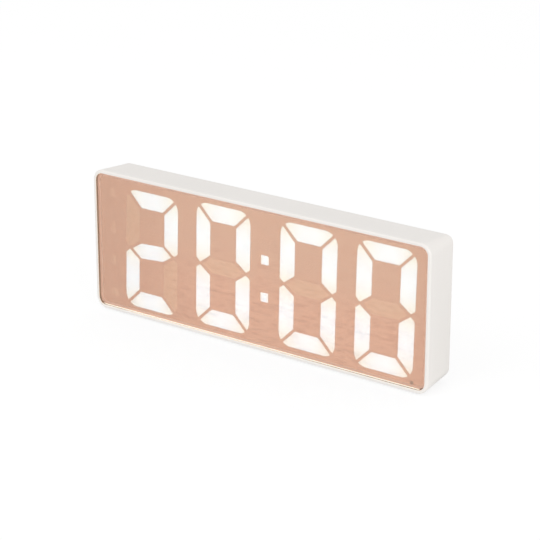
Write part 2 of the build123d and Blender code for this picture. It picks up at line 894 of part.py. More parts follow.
# Power socket: a flat shell with rounded ends, and the tongue inside it
socket_back = housing_depth - socket_sink
with BuildPart() as power_socket:
    with BuildSketch(face_plane(control_back)):
        with Locations(socket_place):
            SlotOverall(socket_width, socket_height)
            SlotOverall(
                socket_width - 2 * socket_shell, socket_height - 2 * socket_shell, mode=Mode.SUBTRACT
            )
    extrude(amount=control_back - socket_back)
save(power_socket, "power_socket")

with BuildPart() as socket_tongue:
    with BuildSketch(face_plane(control_back)):
        with Locations(socket_place):
            SlotOverall(socket_width - 2 * socket_shell, socket_height - 2 * socket_shell)
    extrude(amount=-socket_base)
    with BuildSketch(face_plane(control_back)):
        with Locations(socket_place):
            Rectangle(tongue_board_width, tongue_board_height)
    extrude(amount=control_back - socket_back + tongue_board_sink)
save(socket_tongue, "socket_tongue")

# Temperature probe on the control board
with BuildPart() as temperature_probe:
    with BuildSketch(face_plane(control_back)):
        with Locations(probe_place):
            Circle(probe_radius)
    extrude(amount=-probe_height)
save(temperature_probe, "temperature_probe")

# Buzzer behind the sound holes
with BuildPart() as buzzer:
    with BuildSketch(face_plane(board_back)):
        with Locations(buzzer_place):
            Circle(buzzer_radius)
    extrude(amount=-buzzer_height)
    with BuildSketch(face_plane(board_back + buzzer_height)):
        with Locations(buzzer_place):
            Circle(buzzer_port_radius)
    extrude(amount=buzzer_height / 2, mode=Mode.SUBTRACT)
save(buzzer, "buzzer")

# Back-up coin cell in a round holder, under a spring clip
coin_front = board_back + coin_holder_floor
coin_back = coin_front + coin_thickness
holder_radius = coin_radius + coin_clearance + coin_holder_wall
with BuildPart() as coin_holder:
    with BuildSketch(face_plane(board_back)):
        with Locations(coin_place):
            Circle(holder_radius)
    extrude(amount=board_back - coin_back)
    with BuildSketch(face_plane(coin_front)):
        with Locations(coin_place):
            Circle(coin_radius + coin_clearance)
    extrude(amount=coin_front - coin_back, mode=Mode.SUBTRACT)
save(coin_holder, "coin_holder")

with BuildPart() as coin_cell:
    with BuildSketch(face_plane(coin_front)):
        with Locations(coin_place):
            Circle(coin_radius - coin_step)
    extrude(amount=-coin_thickness)
    with BuildSketch(face_plane(coin_front + coin_step)):
        with Locations(coin_place):
            Circle(coin_radius)
    extrude(amount=coin_step - coin_thickness)
save(coin_cell, "coin_cell")

with BuildPart() as coin_clip:
    with BuildSketch(face_plane(coin_back)):
        with Locations(coin_place):
            Rectangle(2 * holder_radius, clip_width)
    extrude(amount=-clip_thickness)
    with BuildSketch(face_plane(board_back)):
        with Locations(
            (coin_place[0] - holder_radius - clip_thickness / 2, coin_place[1]),
            (coin_place[0] + holder_radius + clip_thickness / 2, coin_place[1]),
        ):
            Rectangle(clip_thickness, clip_width)
    extrude(amount=board_back - coin_back - clip_thickness)
save(coin_clip, "coin_clip")

# Chips on the back of the display board, and their leads
for chip_name, chip_place, chip_width, chip_length in (
    ("clock_chip", clock_chip_place, clock_chip_side, clock_chip_side),
    ("driver_chip", driver_chip_place, driver_chip_width, driver_chip_length),
):
    with BuildPart() as chip:
        with BuildSketch(face_plane(board_back)):
            with Locations(chip_place):
                Rectangle(chip_width, chip_length)
        extrude(amount=-chip_height)
    save(chip, chip_name)

with BuildPart() as chip_leads:
    with BuildSketch(face_plane(board_back)):
        for chip_place, chip_width, lead_count in (
            (clock_chip_place, clock_chip_side, clock_chip_lead_count),
            (driver_chip_place, driver_chip_width, driver_chip_lead_count),
        ):
            for side in (-1, 1):
                row_x = chip_place[0] + side * (chip_width + chip_lead_reach) / 2
                with Locations((row_x, chip_place[1])):
                    with GridLocations(0, chip_lead_pitch, 1, lead_count):
                        Rectangle(chip_lead_reach, chip_lead_width)
        for side in (-1, 1):
            row_v = clock_chip_place[1] + side * (clock_chip_side + chip_lead_reach) / 2
            with Locations((clock_chip_place[0], row_v)):
                with GridLocations(chip_lead_pitch, 0, clock_chip_lead_count, 1):
                    Rectangle(chip_lead_width, chip_lead_reach)
    extrude(amount=-chip_lead_thickness)
save(chip_leads, "chip_leads")

# Clock crystal lying on the board
with BuildPart() as crystal:
    crystal_plane = Plane(
        origin=(crystal_x, front_y + board_back + crystal_radius, middle_z - crystal_drop),
        x_dir=(0, 1, 0),
        z_dir=(0, 0, 1),
    )
    with BuildSketch(crystal_plane):
        Circle(crystal_radius)
    extrude(amount=crystal_length / 2, both=True)
save(crystal, "crystal")

# Small resistors and capacitors
with BuildPart() as small_parts:
    with BuildSketch(face_plane(board_back)):
        with Locations(small_parts_place):
            with GridLocations(small_part_pitch, small_part_pitch, small_part_columns, small_part_rows):
                Rectangle(small_part_length, small_part_width)
    extrude(amount=-small_part_height)
save(small_parts, "small_parts")

# Cells: each one's nub points the other way from its neighbour's
positive_end = bay_length / 2 - contact_thickness - dimple_rise
for number, cell_v in enumerate(cell_places, start=1):
    heading = 1 if number % 2 else -1
    cell_plane = Plane(
        origin=(heading * (positive_end - cell_length), front_y + cell_axis, middle_z + cell_v),
        x_dir=(0, 1, 0),
        z_dir=(heading, 0, 0),
    )
    with BuildPart() as cell:
        with BuildSketch(cell_plane):
            Circle(cell_radius)
        extrude(amount=cell_length - cell_nub_length)
        fillet(cell.edges(), cell_edge_radius)
        with BuildSketch(cell_plane.offset(cell_length - cell_nub_length)):
            Circle(cell_nub_radius)
        extrude(amount=cell_nub_length)
    save(cell, f"cell_{number}")

# Contacts at both ends of the bay: flat plates, with a dimple for each nub and a bowed leaf for each base
with BuildPart() as battery_contacts:
    for side in (-1, 1):
        wall_x = side * bay_length / 2
        singles = [v for x, v in tail_places if x * side > 0]
        pairs = [
            (cell_places[row] + cell_places[row + 1]) / 2
            for row in range(1 if side > 0 else 0, cell_count - 1, 2)
        ]
        wall_plane = Plane(
            origin=(wall_x, front_y + bay_inside, middle_z), x_dir=(0, 1, 0), z_dir=(-side, 0, 0)
        )
        plate_depth = 2 * cell_radius
        up = -side
        with BuildSketch(wall_plane):
            for pair_v in pairs:
                with Locations((plate_depth / 2, up * pair_v)):
                    Rectangle(plate_depth, contact_height + cell_pitch)
            for single_v in singles:
                with Locations((plate_depth / 2, up * single_v)):
                    Rectangle(plate_depth, contact_height)
                with Locations(((board_back - bay_inside) / 2, up * single_v)):
                    Rectangle(bay_inside - board_back, contact_tail_width)
        extrude(amount=contact_thickness)
        for row, cell_v in enumerate(cell_places):
            nub_here = side == (1 if row % 2 == 0 else -1)
            if nub_here:
                with BuildSketch(wall_plane.offset(contact_thickness)):
                    with Locations((cell_axis - bay_inside, up * cell_v)):
                        Circle(dimple_radius)
                extrude(amount=dimple_rise)
            else:
                leaf_plane = Plane(
                    origin=(wall_x - side * contact_thickness, front_y + cell_axis, middle_z + cell_v),
                    x_dir=(-side, 0, 0),
                    z_dir=(0, 0, 1),
                )
                with BuildSketch(leaf_plane):
                    with BuildLine():
                        half_span = leaf_span / 2
                        inner_reach = leaf_reach - contact_thickness
                        inner_span = half_span - contact_thickness
                        ThreePointArc((0, -half_span), (leaf_reach, 0), (0, half_span))
                        Line((0, half_span), (0, inner_span))
                        ThreePointArc((0, inner_span), (inner_reach, 0), (0, -inner_span))
                        Line((0, -inner_span), (0, -half_span))
                    make_face()
                extrude(amount=leaf_width / 2, both=True)
save(battery_contacts, "battery_contacts")

# Battery door
door_length = (pod_width + bay_length) / 2 + door_lap - door_side_gap
door_x = bay_length / 2 + door_lap - door_side_gap - door_length / 2
door_height = bay_height + 2 * (door_lap - door_side_gap)
with BuildPart() as battery_door:
    with BuildSketch(face_plane(door_front)):
        with Locations((door_x, pod_v)):
            Rectangle(door_length, door_height)
    extrude(amount=-door_thickness)
    with BuildSketch(face_plane(door_front)):
        with Locations((door_x, pod_v)):
            Rectangle(door_length, door_height + 2 * tongue_width)
    extrude(amount=-tongue_thickness)
    with BuildSketch(face_plane(total_depth)):
        with Locations((grip_inset - pod_width / 2 + grip_count * grip_pitch / 2, pod_v)):
            with GridLocations(grip_pitch, 0, grip_count, 1):
                SlotOverall(grip_length, grip_width, rotation=90)
    extrude(amount=grip_depth, mode=Mode.SUBTRACT)
save(battery_door, "battery_door")
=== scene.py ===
"""Desk clock with a rose-gold mirrored display: its finishes, fine pieces, light and camera.

The clock faces -Y, its left and right run along X, and it stands on Z = 0. Sizes are in millimetres,
unless a docstring says metres, and are turned to metres where Blender takes them.
"""

import json
import logging
import math
from dataclasses import dataclass, replace
from enum import Enum
from functools import partial
from typing import Any, Callable

import bpy
import numpy as np
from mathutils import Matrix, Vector

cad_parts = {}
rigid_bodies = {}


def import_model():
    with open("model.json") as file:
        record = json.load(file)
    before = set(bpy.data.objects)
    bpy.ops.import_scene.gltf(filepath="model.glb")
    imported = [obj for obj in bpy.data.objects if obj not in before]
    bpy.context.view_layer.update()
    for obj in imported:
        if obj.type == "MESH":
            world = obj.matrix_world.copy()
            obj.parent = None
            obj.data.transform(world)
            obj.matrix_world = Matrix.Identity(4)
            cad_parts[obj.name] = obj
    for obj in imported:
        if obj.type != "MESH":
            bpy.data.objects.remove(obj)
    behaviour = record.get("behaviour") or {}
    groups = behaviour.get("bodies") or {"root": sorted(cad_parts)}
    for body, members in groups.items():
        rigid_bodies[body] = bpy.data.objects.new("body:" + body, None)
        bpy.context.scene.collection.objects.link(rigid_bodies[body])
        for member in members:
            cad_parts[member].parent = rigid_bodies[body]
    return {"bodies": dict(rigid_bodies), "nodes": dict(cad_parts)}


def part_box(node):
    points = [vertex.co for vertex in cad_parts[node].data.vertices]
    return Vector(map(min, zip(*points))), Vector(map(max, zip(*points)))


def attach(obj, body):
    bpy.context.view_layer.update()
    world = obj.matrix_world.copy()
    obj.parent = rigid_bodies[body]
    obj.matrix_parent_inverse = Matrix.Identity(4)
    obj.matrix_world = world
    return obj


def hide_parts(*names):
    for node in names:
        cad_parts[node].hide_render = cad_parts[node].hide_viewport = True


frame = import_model()

MM = 0.001
LOG = logging.getLogger("desk_clock")

Tree = bpy.types.NodeTree
Node = bpy.types.Node
Socket = bpy.types.NodeSocket
Adder = Callable[..., Node]
Span = tuple[float, float]
Point = tuple[float, float]
Triple = tuple[float, float, float]
Faces = list[tuple[int, ...]]

# Settings that many nodes share. Sockets 0, 6 and 7 of a colour Mix are its factor and two colours.
RGBA = {"data_type": "RGBA"}
SMOOTH = {"interpolation_type": "SMOOTHSTEP"}
FROM = ("From Min", "From Max")
TO = ("To Min", "To Max")
WHITE = "FFFFFF"


class Bar(Enum):
    """The seven bars of a digit, clockwise from the top, then the middle one."""

    TOP = "A"
    UPPER_RIGHT = "B"
    LOWER_RIGHT = "C"
    BOTTOM = "D"
    LOWER_LEFT = "E"
    UPPER_LEFT = "F"
    MIDDLE = "G"


class Heading(Enum):
    """The way that a cell's raised end points, as the sign of X."""

    RIGHT = 1.0
    LEFT = -1.0


class SheetFace(Enum):
    """Kind of face on the clear panel or the film, as its material number."""

    FRONT = 0
    EDGE = 1
    BACK = 2


def linear(code: str) -> tuple[float, float, float, float]:
    """Turn an sRGB hex value into the linear colour that a shader takes.

    Args:
        code: Six hex digits, such as "F3F1ED".

    Returns:
        Linear red, green and blue, and an alpha of 1.
    """
    parts = np.array([int(code[i:i + 2], 16) for i in (0, 2, 4)]) / 255.0
    low, high = parts / 12.92, ((parts + 0.055) / 1.055) ** 2.4
    red, green, blue = np.where(parts <= 0.04045, low, high)
    return float(red), float(green), float(blue), 1.0


def add_node(tree: Tree, kind: str, inputs: dict[Any, Any] | None = None, **settings: Any) -> Node:
    """Add one shader node with its settings, and set or link its inputs.

    Args:
        tree: The tree that gets the node.
        kind: The node's Blender type, without "ShaderNode" in front.
        inputs: Values by socket name or number, or several values by a tuple of names. A socket is
            linked, a node is linked by its first output in use, text is the hex value of a colour,
            and any other value is set.
        settings: Properties of the node by name.

    Returns:
        The new node.
    """
    node = tree.nodes.new("ShaderNode" + kind)
    for name, value in settings.items():
        setattr(node, name, value)
    for keys, values in (inputs or {}).items():
        for key, value in zip(keys, values) if isinstance(keys, tuple) else [(keys, values)]:
            if isinstance(value, Node):
                value = next(output for output in value.outputs if output.enabled)
            if isinstance(value, Socket):
                tree.links.new(value, node.inputs[key])
            else:
                node.inputs[key].default_value = linear(value) if isinstance(value, str) else value
    return node


def metres(*sizes: float) -> tuple[float, ...]:
    """Sizes in millimetres, turned to metres."""
    return tuple(size * MM for size in sizes)


def per_metre(size: float) -> float:
    """Texture scale at which one feature of a pattern has this size."""
    return 1.0 / (size * MM)


def lower_right(add: Adder, x: Socket, z: Socket, corner: Point) -> Node:
    """Mask of the place to the right of a point and below it, at any depth.

    Args:
        add: Adds a node.
        x: X in metres.
        z: Z in metres.
        corner: X and Z of the point.

    Returns:
        The node that gives 1 there and 0 elsewhere.
    """
    across, up = metres(*corner)
    right = add("Math", {0: x, 1: across}, operation="GREATER_THAN")
    low = add("Math", {0: z, 1: up}, operation="LESS_THAN")
    return add("Math", {0: right, 1: low}, operation="MULTIPLY")


@dataclass(frozen=True)
class Finish:
    """A real material and how its surface was made; each kind below wires its own shader."""

    name: str

    def material(self) -> bpy.types.Material:
        """Make the Blender material of that name when it is first asked for.

        Returns:
            The material.
        """
        made = bpy.data.materials.get(self.name)
        if made is None:
            made = bpy.data.materials.new(self.name)
            made.use_nodes = True
            made.node_tree.nodes.clear()
            add = partial(add_node, made.node_tree)
            place = add("TexCoord").outputs["Object"]
            add("OutputMaterial", {"Surface": self.shader(add, place)})
        return made

    def shader(self, add: Adder, place: Socket) -> Node:
        """Wire the shader.

        Args:
            add: Adds a node to the material's tree, as add_node does.
            place: Object coordinates, in metres.

        Returns:
            The node that gives the finished shader.
        """
        raise NotImplementedError


@dataclass(frozen=True)
class MouldedPlastic(Finish):
    """Injection-moulded plastic: the tool's fine spark texture, with a slow drift of tone and gloss."""

    colour: str = "F0ECE8"
    tone: str = "E9E5E0"
    roughness: float = 0.42
    drift: float = 40.0
    grain: float = 0.35
    grain_height: float = 0.012

    def shader(self, add: Adder, place: Socket) -> Node:
        """Drift slowly between colour and tone, vary the gloss, and raise the grain."""
        drift = add("TexNoise", {
            "Vector": place, "Scale": per_metre(self.drift), "Detail": 2.0, "Roughness": 0.45})
        grain = add("TexNoise", {
            "Vector": place, "Scale": per_metre(self.grain), "Detail": 2.0, "Roughness": 0.6})
        paint = add("Mix", {0: drift, 6: self.colour, 7: self.tone}, **RGBA)
        gloss = add("MapRange", {
            "Value": grain, FROM: (0.3, 0.7), TO: (self.roughness - 0.04, self.roughness + 0.05)})
        relief = add("Bump", {"Height": grain, "Strength": 0.35, "Distance": self.grain_height * MM})
        return add("BsdfPrincipled", {
            "Base Color": paint, "Roughness": gloss, "IOR": 1.5, "Normal": relief})


@dataclass(frozen=True)
class ClearAcrylic(Finish):
    """Polished acrylic sheet: refracts as the real one does, with the faintest wiping haze."""

    tint: str = "FDFBF9"
    haze: float = 18.0

    def shader(self, add: Adder, place: Socket) -> Node:
        """Let the haze vary the roughness a little over a clear, refracting body."""
        haze = add("TexNoise", {
            "Vector": place, "Scale": per_metre(self.haze), "Detail": 3.0, "Roughness": 0.5})
        polish = add("MapRange", {"Value": haze, FROM: (0.35, 0.75), TO: (0.0, 0.012)})
        return add("BsdfPrincipled", {
            "Base Color": self.tint, "Roughness": polish, "IOR": 1.49, "Transmission Weight": 1.0})


@dataclass(frozen=True)
class SawnEdge(Finish):
    """Sawn edge of the clear sheet: matt, with a painted glow in place of the light reaching it.

    It is cream and bright at the base, painted light as if lit from above, and darker at the top
    and right, painted shade. A painted dark line, the shade in the gap between the sheet and its rim,
    lies along the base, pale in the middle and brown towards both ends. At the viewer's left and round
    the lower right corner the edge is painted brown to its back, as shade, and pale at its front.
    """

    # Painted light and shade: the gap's shade line, the lit cream cut, the shaded top, the brown shade.
    gap_shade: str = "3A2A1E"
    pale: str = "B8AEA2"
    cut: str = "F0E8DC"
    upper_shade: str = "E2C6B4"
    shade_brown: str = "664A36"
    shade_front: str = "C8AC8A"
    shade_cut: str = "8E6C54"
    pale_y: Span = (-12.1, -11.8)
    gap_shade_y: Span = (-11.3, -10.7)
    base_z: Span = (2.05, 2.7)
    right_x: Span = (-20.0, 60.0)
    left_x: Span = (-72.0, -56.0)
    left_share: float = 0.7
    left_shade_x: float = -76.0
    corner: Point = (75.6, 5.2)
    # Strengths of the painted glow, at the base and higher up.
    glow: float = 0.8
    high_glow: float = 0.45
    mark: float = 0.3

    def shader(self, add: Adder, place: Socket) -> Node:
        """Fade from the pale front through the painted gap shade to the cut, and up to the shaded top.
        """
        x, y, z = add("SeparateXYZ", {"Vector": place}).outputs
        front, depth, rise, right = (
            add("MapRange", {"Value": value, FROM: metres(*span)}, **SMOOTH)
            for value, span in (
                (y, self.pale_y), (y, self.gap_shade_y), (z, self.base_z), (x, self.right_x)))
        left = add("MapRange", {
            "Value": x, FROM: metres(*self.left_x), TO: (self.left_share, 0.0)}, **SMOOTH)
        ends = add("Math", {0: right, 1: left}, operation="MAXIMUM")
        # Painted shade of the gap along the base, darker towards both ends.
        run = add("Mix", {0: ends, 6: self.pale, 7: self.gap_shade}, **RGBA)
        line = add("Mix", {0: front, 6: self.cut, 7: run}, **RGBA)
        low = add("Mix", {0: depth, 6: line, 7: self.cut}, **RGBA)
        brown = add("Mix", {0: depth, 6: self.shade_brown, 7: self.shade_cut}, **RGBA)
        fronted = add("Mix", {0: front, 6: self.shade_front, 7: brown}, **RGBA)
        # Painted shade along the viewer's left edge.
        side = add("Math", {0: x, 1: self.left_shade_x * MM}, operation="LESS_THAN")
        high = add("Mix", {0: side, 6: self.upper_shade, 7: fronted}, **RGBA)
        lit_and_shaded = add("Mix", {0: rise, 6: low, 7: high}, **RGBA)
        # Painted shade round the lower right corner.
        corner = lower_right(add, x, z, self.corner)
        behind = add("Math", {0: corner, 1: front}, operation="MULTIPLY")
        tone = add("Mix", {0: behind, 6: lit_and_shaded, 7: self.shade_brown}, **RGBA)
        marks = add("TexNoise", {"Vector": place, "Scale": per_metre(self.mark), "Detail": 2.0})
        gloss = add("MapRange", {"Value": marks, TO: (0.4, 0.6)})
        # Painted glow, strongest at the base and beside the left edge.
        fading = add("MapRange", {"Value": rise, TO: (self.glow, self.high_glow)})
        beside = add("Math", {0: side, 1: self.glow}, operation="MULTIPLY")
        painted_glow = add("Math", {0: fading, 1: beside}, operation="MAXIMUM")
        return add("BsdfPrincipled", {
            "Base Color": tone, "Roughness": gloss, "Emission Color": tone,
            "Emission Strength": painted_glow})


@dataclass(frozen=True)
class HalfMirror(Finish):
    """Metallised film: most light comes back rose-gold, and the rest passes to and from the digits."""

    upper: str = "F5C6A9"
    lower: str = "FBC5A7"
    # Painted shade towards the ends, in what the metal reflects.
    end_shade: str = "E8B699"
    scuff: str = "E9AF92"
    clear: str = "BCEDF9"
    passing: float = 0.22
    roughness: float = 0.05
    bare_share: float = 0.34
    bare_place: Point = (0.0, 0.0)
    bare_radius: float = 0.95
    rise_z: Span = (18.0, 44.0)
    left_x: Span = (-84.0, -8.0)
    right_x: Span = (60.0, 80.0)
    right_share: float = 0.4
    streak: float = 1.5
    stretch: Triple = (0.2, 1.0, 1.0)
    streak_shares: Span = (0.95, 0.3)

    def shader(self, add: Adder, place: Socket) -> Node:
        """Mix the metal with a clear share.

        The metal is painted darker towards the two ends, most at the viewer's left, a painted shade
        in what it reflects, and a little pinker in the lower half, where fine streaks from its rolling
        lie along X. It is thinned in one small round spot over the light sensor.
        """
        x, _, z = add("SeparateXYZ", {"Vector": place}).outputs
        height = add("MapRange", {"Value": z, FROM: metres(*self.rise_z)}, **SMOOTH)
        left = add("MapRange", {"Value": x, FROM: metres(*self.left_x), TO: (1.0, 0.0)}, **SMOOTH)
        right = add("MapRange", {
            "Value": x, FROM: metres(*self.right_x), TO: (0.0, self.right_share)}, **SMOOTH)
        ends = add("Math", {0: left, 1: right}, operation="ADD")
        spread = add("Mapping", {"Vector": place, "Scale": self.stretch})
        streaks = add("TexNoise", {
            "Vector": spread, "Scale": per_metre(self.streak), "Detail": 6.0, "Roughness": 0.72})
        strength = add("MapRange", {"Value": height, TO: self.streak_shares})
        mottle = add("MapRange", {"Value": streaks, FROM: (0.47, 0.72), TO: (0.0, strength)})
        base = add("Mix", {0: height, 6: self.lower, 7: self.upper}, **RGBA)
        # Painted shade in the reflection towards both ends.
        end_shaded = add("Mix", {0: ends, 6: base, 7: self.end_shade}, **RGBA)
        tone = add("Mix", {0: mottle, 6: end_shaded, 7: self.scuff}, **RGBA)
        coat = add("BsdfPrincipled", {"Base Color": tone, "Metallic": 1.0, "Roughness": self.roughness})
        across, up = metres(*self.bare_place)
        flat = add("CombineXYZ", {"X": x, "Z": z})
        away = add("VectorMath", {0: flat, 1: (across, 0.0, up)}, operation="DISTANCE")
        thin = add("MapRange", {
            "Value": away, FROM: metres(0.5 * self.bare_radius, 1.2 * self.bare_radius),
            TO: (self.passing + self.bare_share, self.passing)}, **SMOOTH)
        window = add("BsdfTransparent", {"Color": self.clear})
        return add("MixShader", {0: thin, 1: coat, 2: window})


@dataclass(frozen=True)
class GluedRim(Finish):
    """Rim of the film where glued: matt instead of mirrored, and given a painted glow by the left edge.

    Along the base it is painted with the cream light of the sawn edge, and round the lower right
    corner it is painted brown, as the shade of the gap there.
    """

    film: str = "D0A893"
    haze: str = "CBA38E"
    # Painted light along the base and painted brown shade at the lower right corner.
    lit: str = "F2E8D8"
    shade_brown: str = "664A38"
    base_z: Span = (2.15, 2.35)
    base_glow: float = 0.7
    centre: Point = (75.2, 5.4)
    brown_x: float = 76.0
    brown_radius: Span = (2.85, 3.1)
    left_shade_x: Span = (-77.3, -76.0)
    glows: Span = (0.5, 0.37)
    cloud: float = 0.8

    def shader(self, add: Adder, place: Socket) -> Node:
        """Cloud the film's colour with a fine haze, and raise its painted glow to the left and the
        base.

        The painted brown shade lies round the centre of the rounded corner, outside brown_radius.
        """
        x, _, z = add("SeparateXYZ", {"Vector": place}).outputs
        # Painted glow, raised beside the shaded left edge and along the base.
        lift = add("MapRange", {"Value": x, FROM: metres(*self.left_shade_x), TO: self.glows}, **SMOOTH)
        rise = add("MapRange", {"Value": z, FROM: metres(*self.base_z)}, **SMOOTH)
        glow = add("MapRange", {"Value": rise, TO: (self.base_glow, lift)})
        across, up = metres(*self.centre)
        flat = add("CombineXYZ", {"X": x, "Z": z})
        away = add("VectorMath", {0: flat, 1: (across, 0.0, up)}, operation="DISTANCE")
        arc = add("MapRange", {"Value": away, FROM: metres(*self.brown_radius)}, **SMOOTH)
        quarter = lower_right(add, x, z, (self.brown_x, self.centre[1]))
        brown = add("Math", {0: quarter, 1: arc}, operation="MULTIPLY")
        cloud = add("TexNoise", {"Vector": place, "Scale": per_metre(self.cloud), "Detail": 2.0})
        plain = add("Mix", {0: cloud, 6: self.film, 7: self.haze}, **RGBA)
        # Painted light: the cream of the lit sawn edge along the base.
        based = add("Mix", {0: rise, 6: self.lit, 7: plain}, **RGBA)
        # Painted shade round the lower right corner.
        tone = add("Mix", {0: brown, 6: based, 7: self.shade_brown}, **RGBA)
        return add("BsdfPrincipled", {
            "Base Color": tone, "Roughness": 0.6, "Emission Color": tone, "Emission Strength": glow})


@dataclass(frozen=True)
class ClearBacking(Finish):
    """Polyester carrier of the film, seen from inside: clear, with a slight haze."""

    tint: str = "FFF8F2"
    cloud: float = 25.0

    def shader(self, add: Adder, place: Socket) -> Node:
        """Pass light straight through, with a faint cloud in its tint."""
        cloud = add("TexNoise", {"Vector": place, "Scale": per_metre(self.cloud), "Detail": 2.0})
        tone = add("Mix", {0: cloud, 6: WHITE, 7: self.tint}, **RGBA)
        return add("BsdfTransparent", {"Color": tone})


@dataclass(frozen=True)
class LitDiffuser(Finish):
    """Opal acrylic lit from behind: white in the middle of a bar, cream towards its ends and edges."""

    opal: str = "F4F1E8"
    middle: str = "C0E6FF"
    end: str = "C0D5CE"
    strength: float = 3.08
    left_x: Span = (-65.0, -20.0)
    left_boost: float = 1.07
    cloud: float = 6.0

    def shader(self, add: Adder, place: Socket) -> Node:
        """Glow from white to cream with the square of the share along the bar, and near its sides.

        The sides add half the eighth power of the share across. The lamps at the viewer's left
        burn a little brighter than the others.
        """
        shares = add("Attribute", attribute_name="shares").outputs["Vector"]
        length, width, _ = add("SeparateXYZ", {"Vector": shares}).outputs
        along = add("Math", {0: length, 1: 2.0}, operation="POWER")
        across = add("Math", {0: width, 1: 8.0}, operation="POWER")
        cream = add("Math", {0: across, 1: 0.5, 2: along}, operation="MULTIPLY_ADD", use_clamp=True)
        tone = add("Mix", {0: cream, 6: self.middle, 7: self.end}, **RGBA)
        cloud = add("TexNoise", {"Vector": place, "Scale": per_metre(self.cloud), "Detail": 1.0})
        uneven = add("MapRange", {"Value": cloud, FROM: (0.3, 0.7), TO: (0.98, 1.02)})
        side = add("SeparateXYZ", {"Vector": place}).outputs["X"]
        lamps = add("MapRange", {
            "Value": side, FROM: metres(*self.left_x),
            TO: (self.left_boost * self.strength, self.strength)})
        power = add("Math", {0: lamps, 1: uneven}, operation="MULTIPLY")
        return add("BsdfPrincipled", {
            "Base Color": self.opal, "Roughness": 0.4, "Emission Color": tone,
            "Emission Strength": power})


@dataclass(frozen=True)
class UnlitDiffuser(Finish):
    """The same opal acrylic with its lamps off: it only carries the stray light of its neighbours."""

    colour: str = "A9A596"
    stray: str = "FFE8A4"
    strength: float = 0.19
    cloud: float = 9.0

    def shader(self, add: Adder, place: Socket) -> Node:
        """Give the opal body a very weak painted glow in place of stray light, uneven as stray light
        is.
        """
        cloud = add("TexNoise", {"Vector": place, "Scale": per_metre(self.cloud), "Detail": 1.0})
        level = add("MapRange", {"Value": cloud, TO: (0.92 * self.strength, 1.08 * self.strength)})
        return add("BsdfPrincipled", {
            "Base Color": self.colour, "Roughness": 0.45, "Emission Color": self.stray,
            "Emission Strength": level})


@dataclass(frozen=True)
class PlatedMetal(Finish):
    """Plated or bare sheet metal: rolling lines along one way and a slight cloud in the plating."""

    colour: str = "C9C8C6"
    tone: str = "B6B5B2"
    roughness: float = 0.3
    line: float = 0.25
    line_height: float = 0.01
    along: Triple = (0.05, 1.0, 1.0)

    def shader(self, add: Adder, place: Socket) -> Node:
        """Stretch fine noise along the rolling direction for both tone and relief."""
        spread = add("Mapping", {"Vector": place, "Scale": self.along})
        lines = add("TexNoise", {
            "Vector": spread, "Scale": per_metre(self.line), "Detail": 3.0, "Roughness": 0.6})
        tone = add("Mix", {0: lines, 6: self.colour, 7: self.tone}, **RGBA)
        gloss = add("MapRange", {"Value": lines, TO: (self.roughness - 0.08, self.roughness + 0.1)})
        relief = add("Bump", {"Height": lines, "Strength": 0.25, "Distance": self.line_height * MM})
        return add("BsdfPrincipled", {
            "Base Color": tone, "Metallic": 1.0, "Roughness": gloss, "Normal": relief})


@dataclass(frozen=True)
class SolderMask(Finish):
    """Glass-epoxy board under green solder mask, with the copper tracks showing as lighter lines."""

    mask: str = "12492C"
    track: str = "1E6A3E"
    pitch: float = 1.6
    stretch: Triple = (0.25, 0.0, 1.0)
    track_share: Span = (0.3, 0.34)
    track_height: float = 0.03

    def shader(self, add: Adder, place: Socket) -> Node:
        """Draw tracks as the thin walls between stretched square cells."""
        spread = add("Mapping", {"Vector": place, "Scale": self.stretch})
        cells = add("TexVoronoi", {
            "Vector": spread, "Scale": per_metre(self.pitch), "Randomness": 0.75},
            distance="CHEBYCHEV", feature="F1")
        edge = add("MapRange", {"Value": cells, FROM: self.track_share})
        tone = add("Mix", {0: edge, 6: self.mask, 7: self.track}, **RGBA)
        relief = add("Bump", {"Height": edge, "Strength": 0.4, "Distance": self.track_height * MM})
        return add("BsdfPrincipled", {
            "Base Color": tone, "Roughness": 0.3, "IOR": 1.5, "Normal": relief})


@dataclass(frozen=True)
class PrintedSleeve(Finish):
    """Shrunk sleeve of a cell: a dark print with one pale band near the raised end."""

    ink: str = "23445C"
    deep_ink: str = "1B3648"
    band: str = "D9DDE0"
    band_along: Span = (0.78, 0.9)
    cloud: float = 3.0

    def shader(self, add: Adder, place: Socket) -> Node:
        """Read the share along the cell and print the band from it, over a slightly cloudy ink."""
        share = add("Attribute", attribute_name="along").outputs["Fac"]
        start = add("Math", {0: share, 1: self.band_along[0]}, operation="GREATER_THAN")
        end = add("Math", {0: share, 1: self.band_along[1]}, operation="LESS_THAN")
        band = add("Math", {0: start, 1: end}, operation="MULTIPLY")
        cloud = add("TexNoise", {"Vector": place, "Scale": per_metre(self.cloud), "Detail": 3.0})
        ink = add("Mix", {0: cloud, 6: self.ink, 7: self.deep_ink}, **RGBA)
        tone = add("Mix", {0: band, 6: ink, 7: self.band}, **RGBA)
        gloss = add("MapRange", {"Value": cloud, TO: (0.22, 0.36)})
        return add("BsdfPrincipled", {"Base Color": tone, "Roughness": gloss, "IOR": 1.5})


def seen_rays(add: Adder) -> Node:
    """Tell the rays from the camera, in reflections and through clear pieces from the others.

    Args:
        add: Adds a node.

    Returns:
        The node that gives 1 for them.
    """
    path = add("LightPath").outputs
    some = add("Math", {0: path["Is Camera Ray"], 1: path["Is Glossy Ray"]}, operation="MAXIMUM")
    return add("Math", {0: some, 1: path["Is Transmission Ray"]}, operation="MAXIMUM")


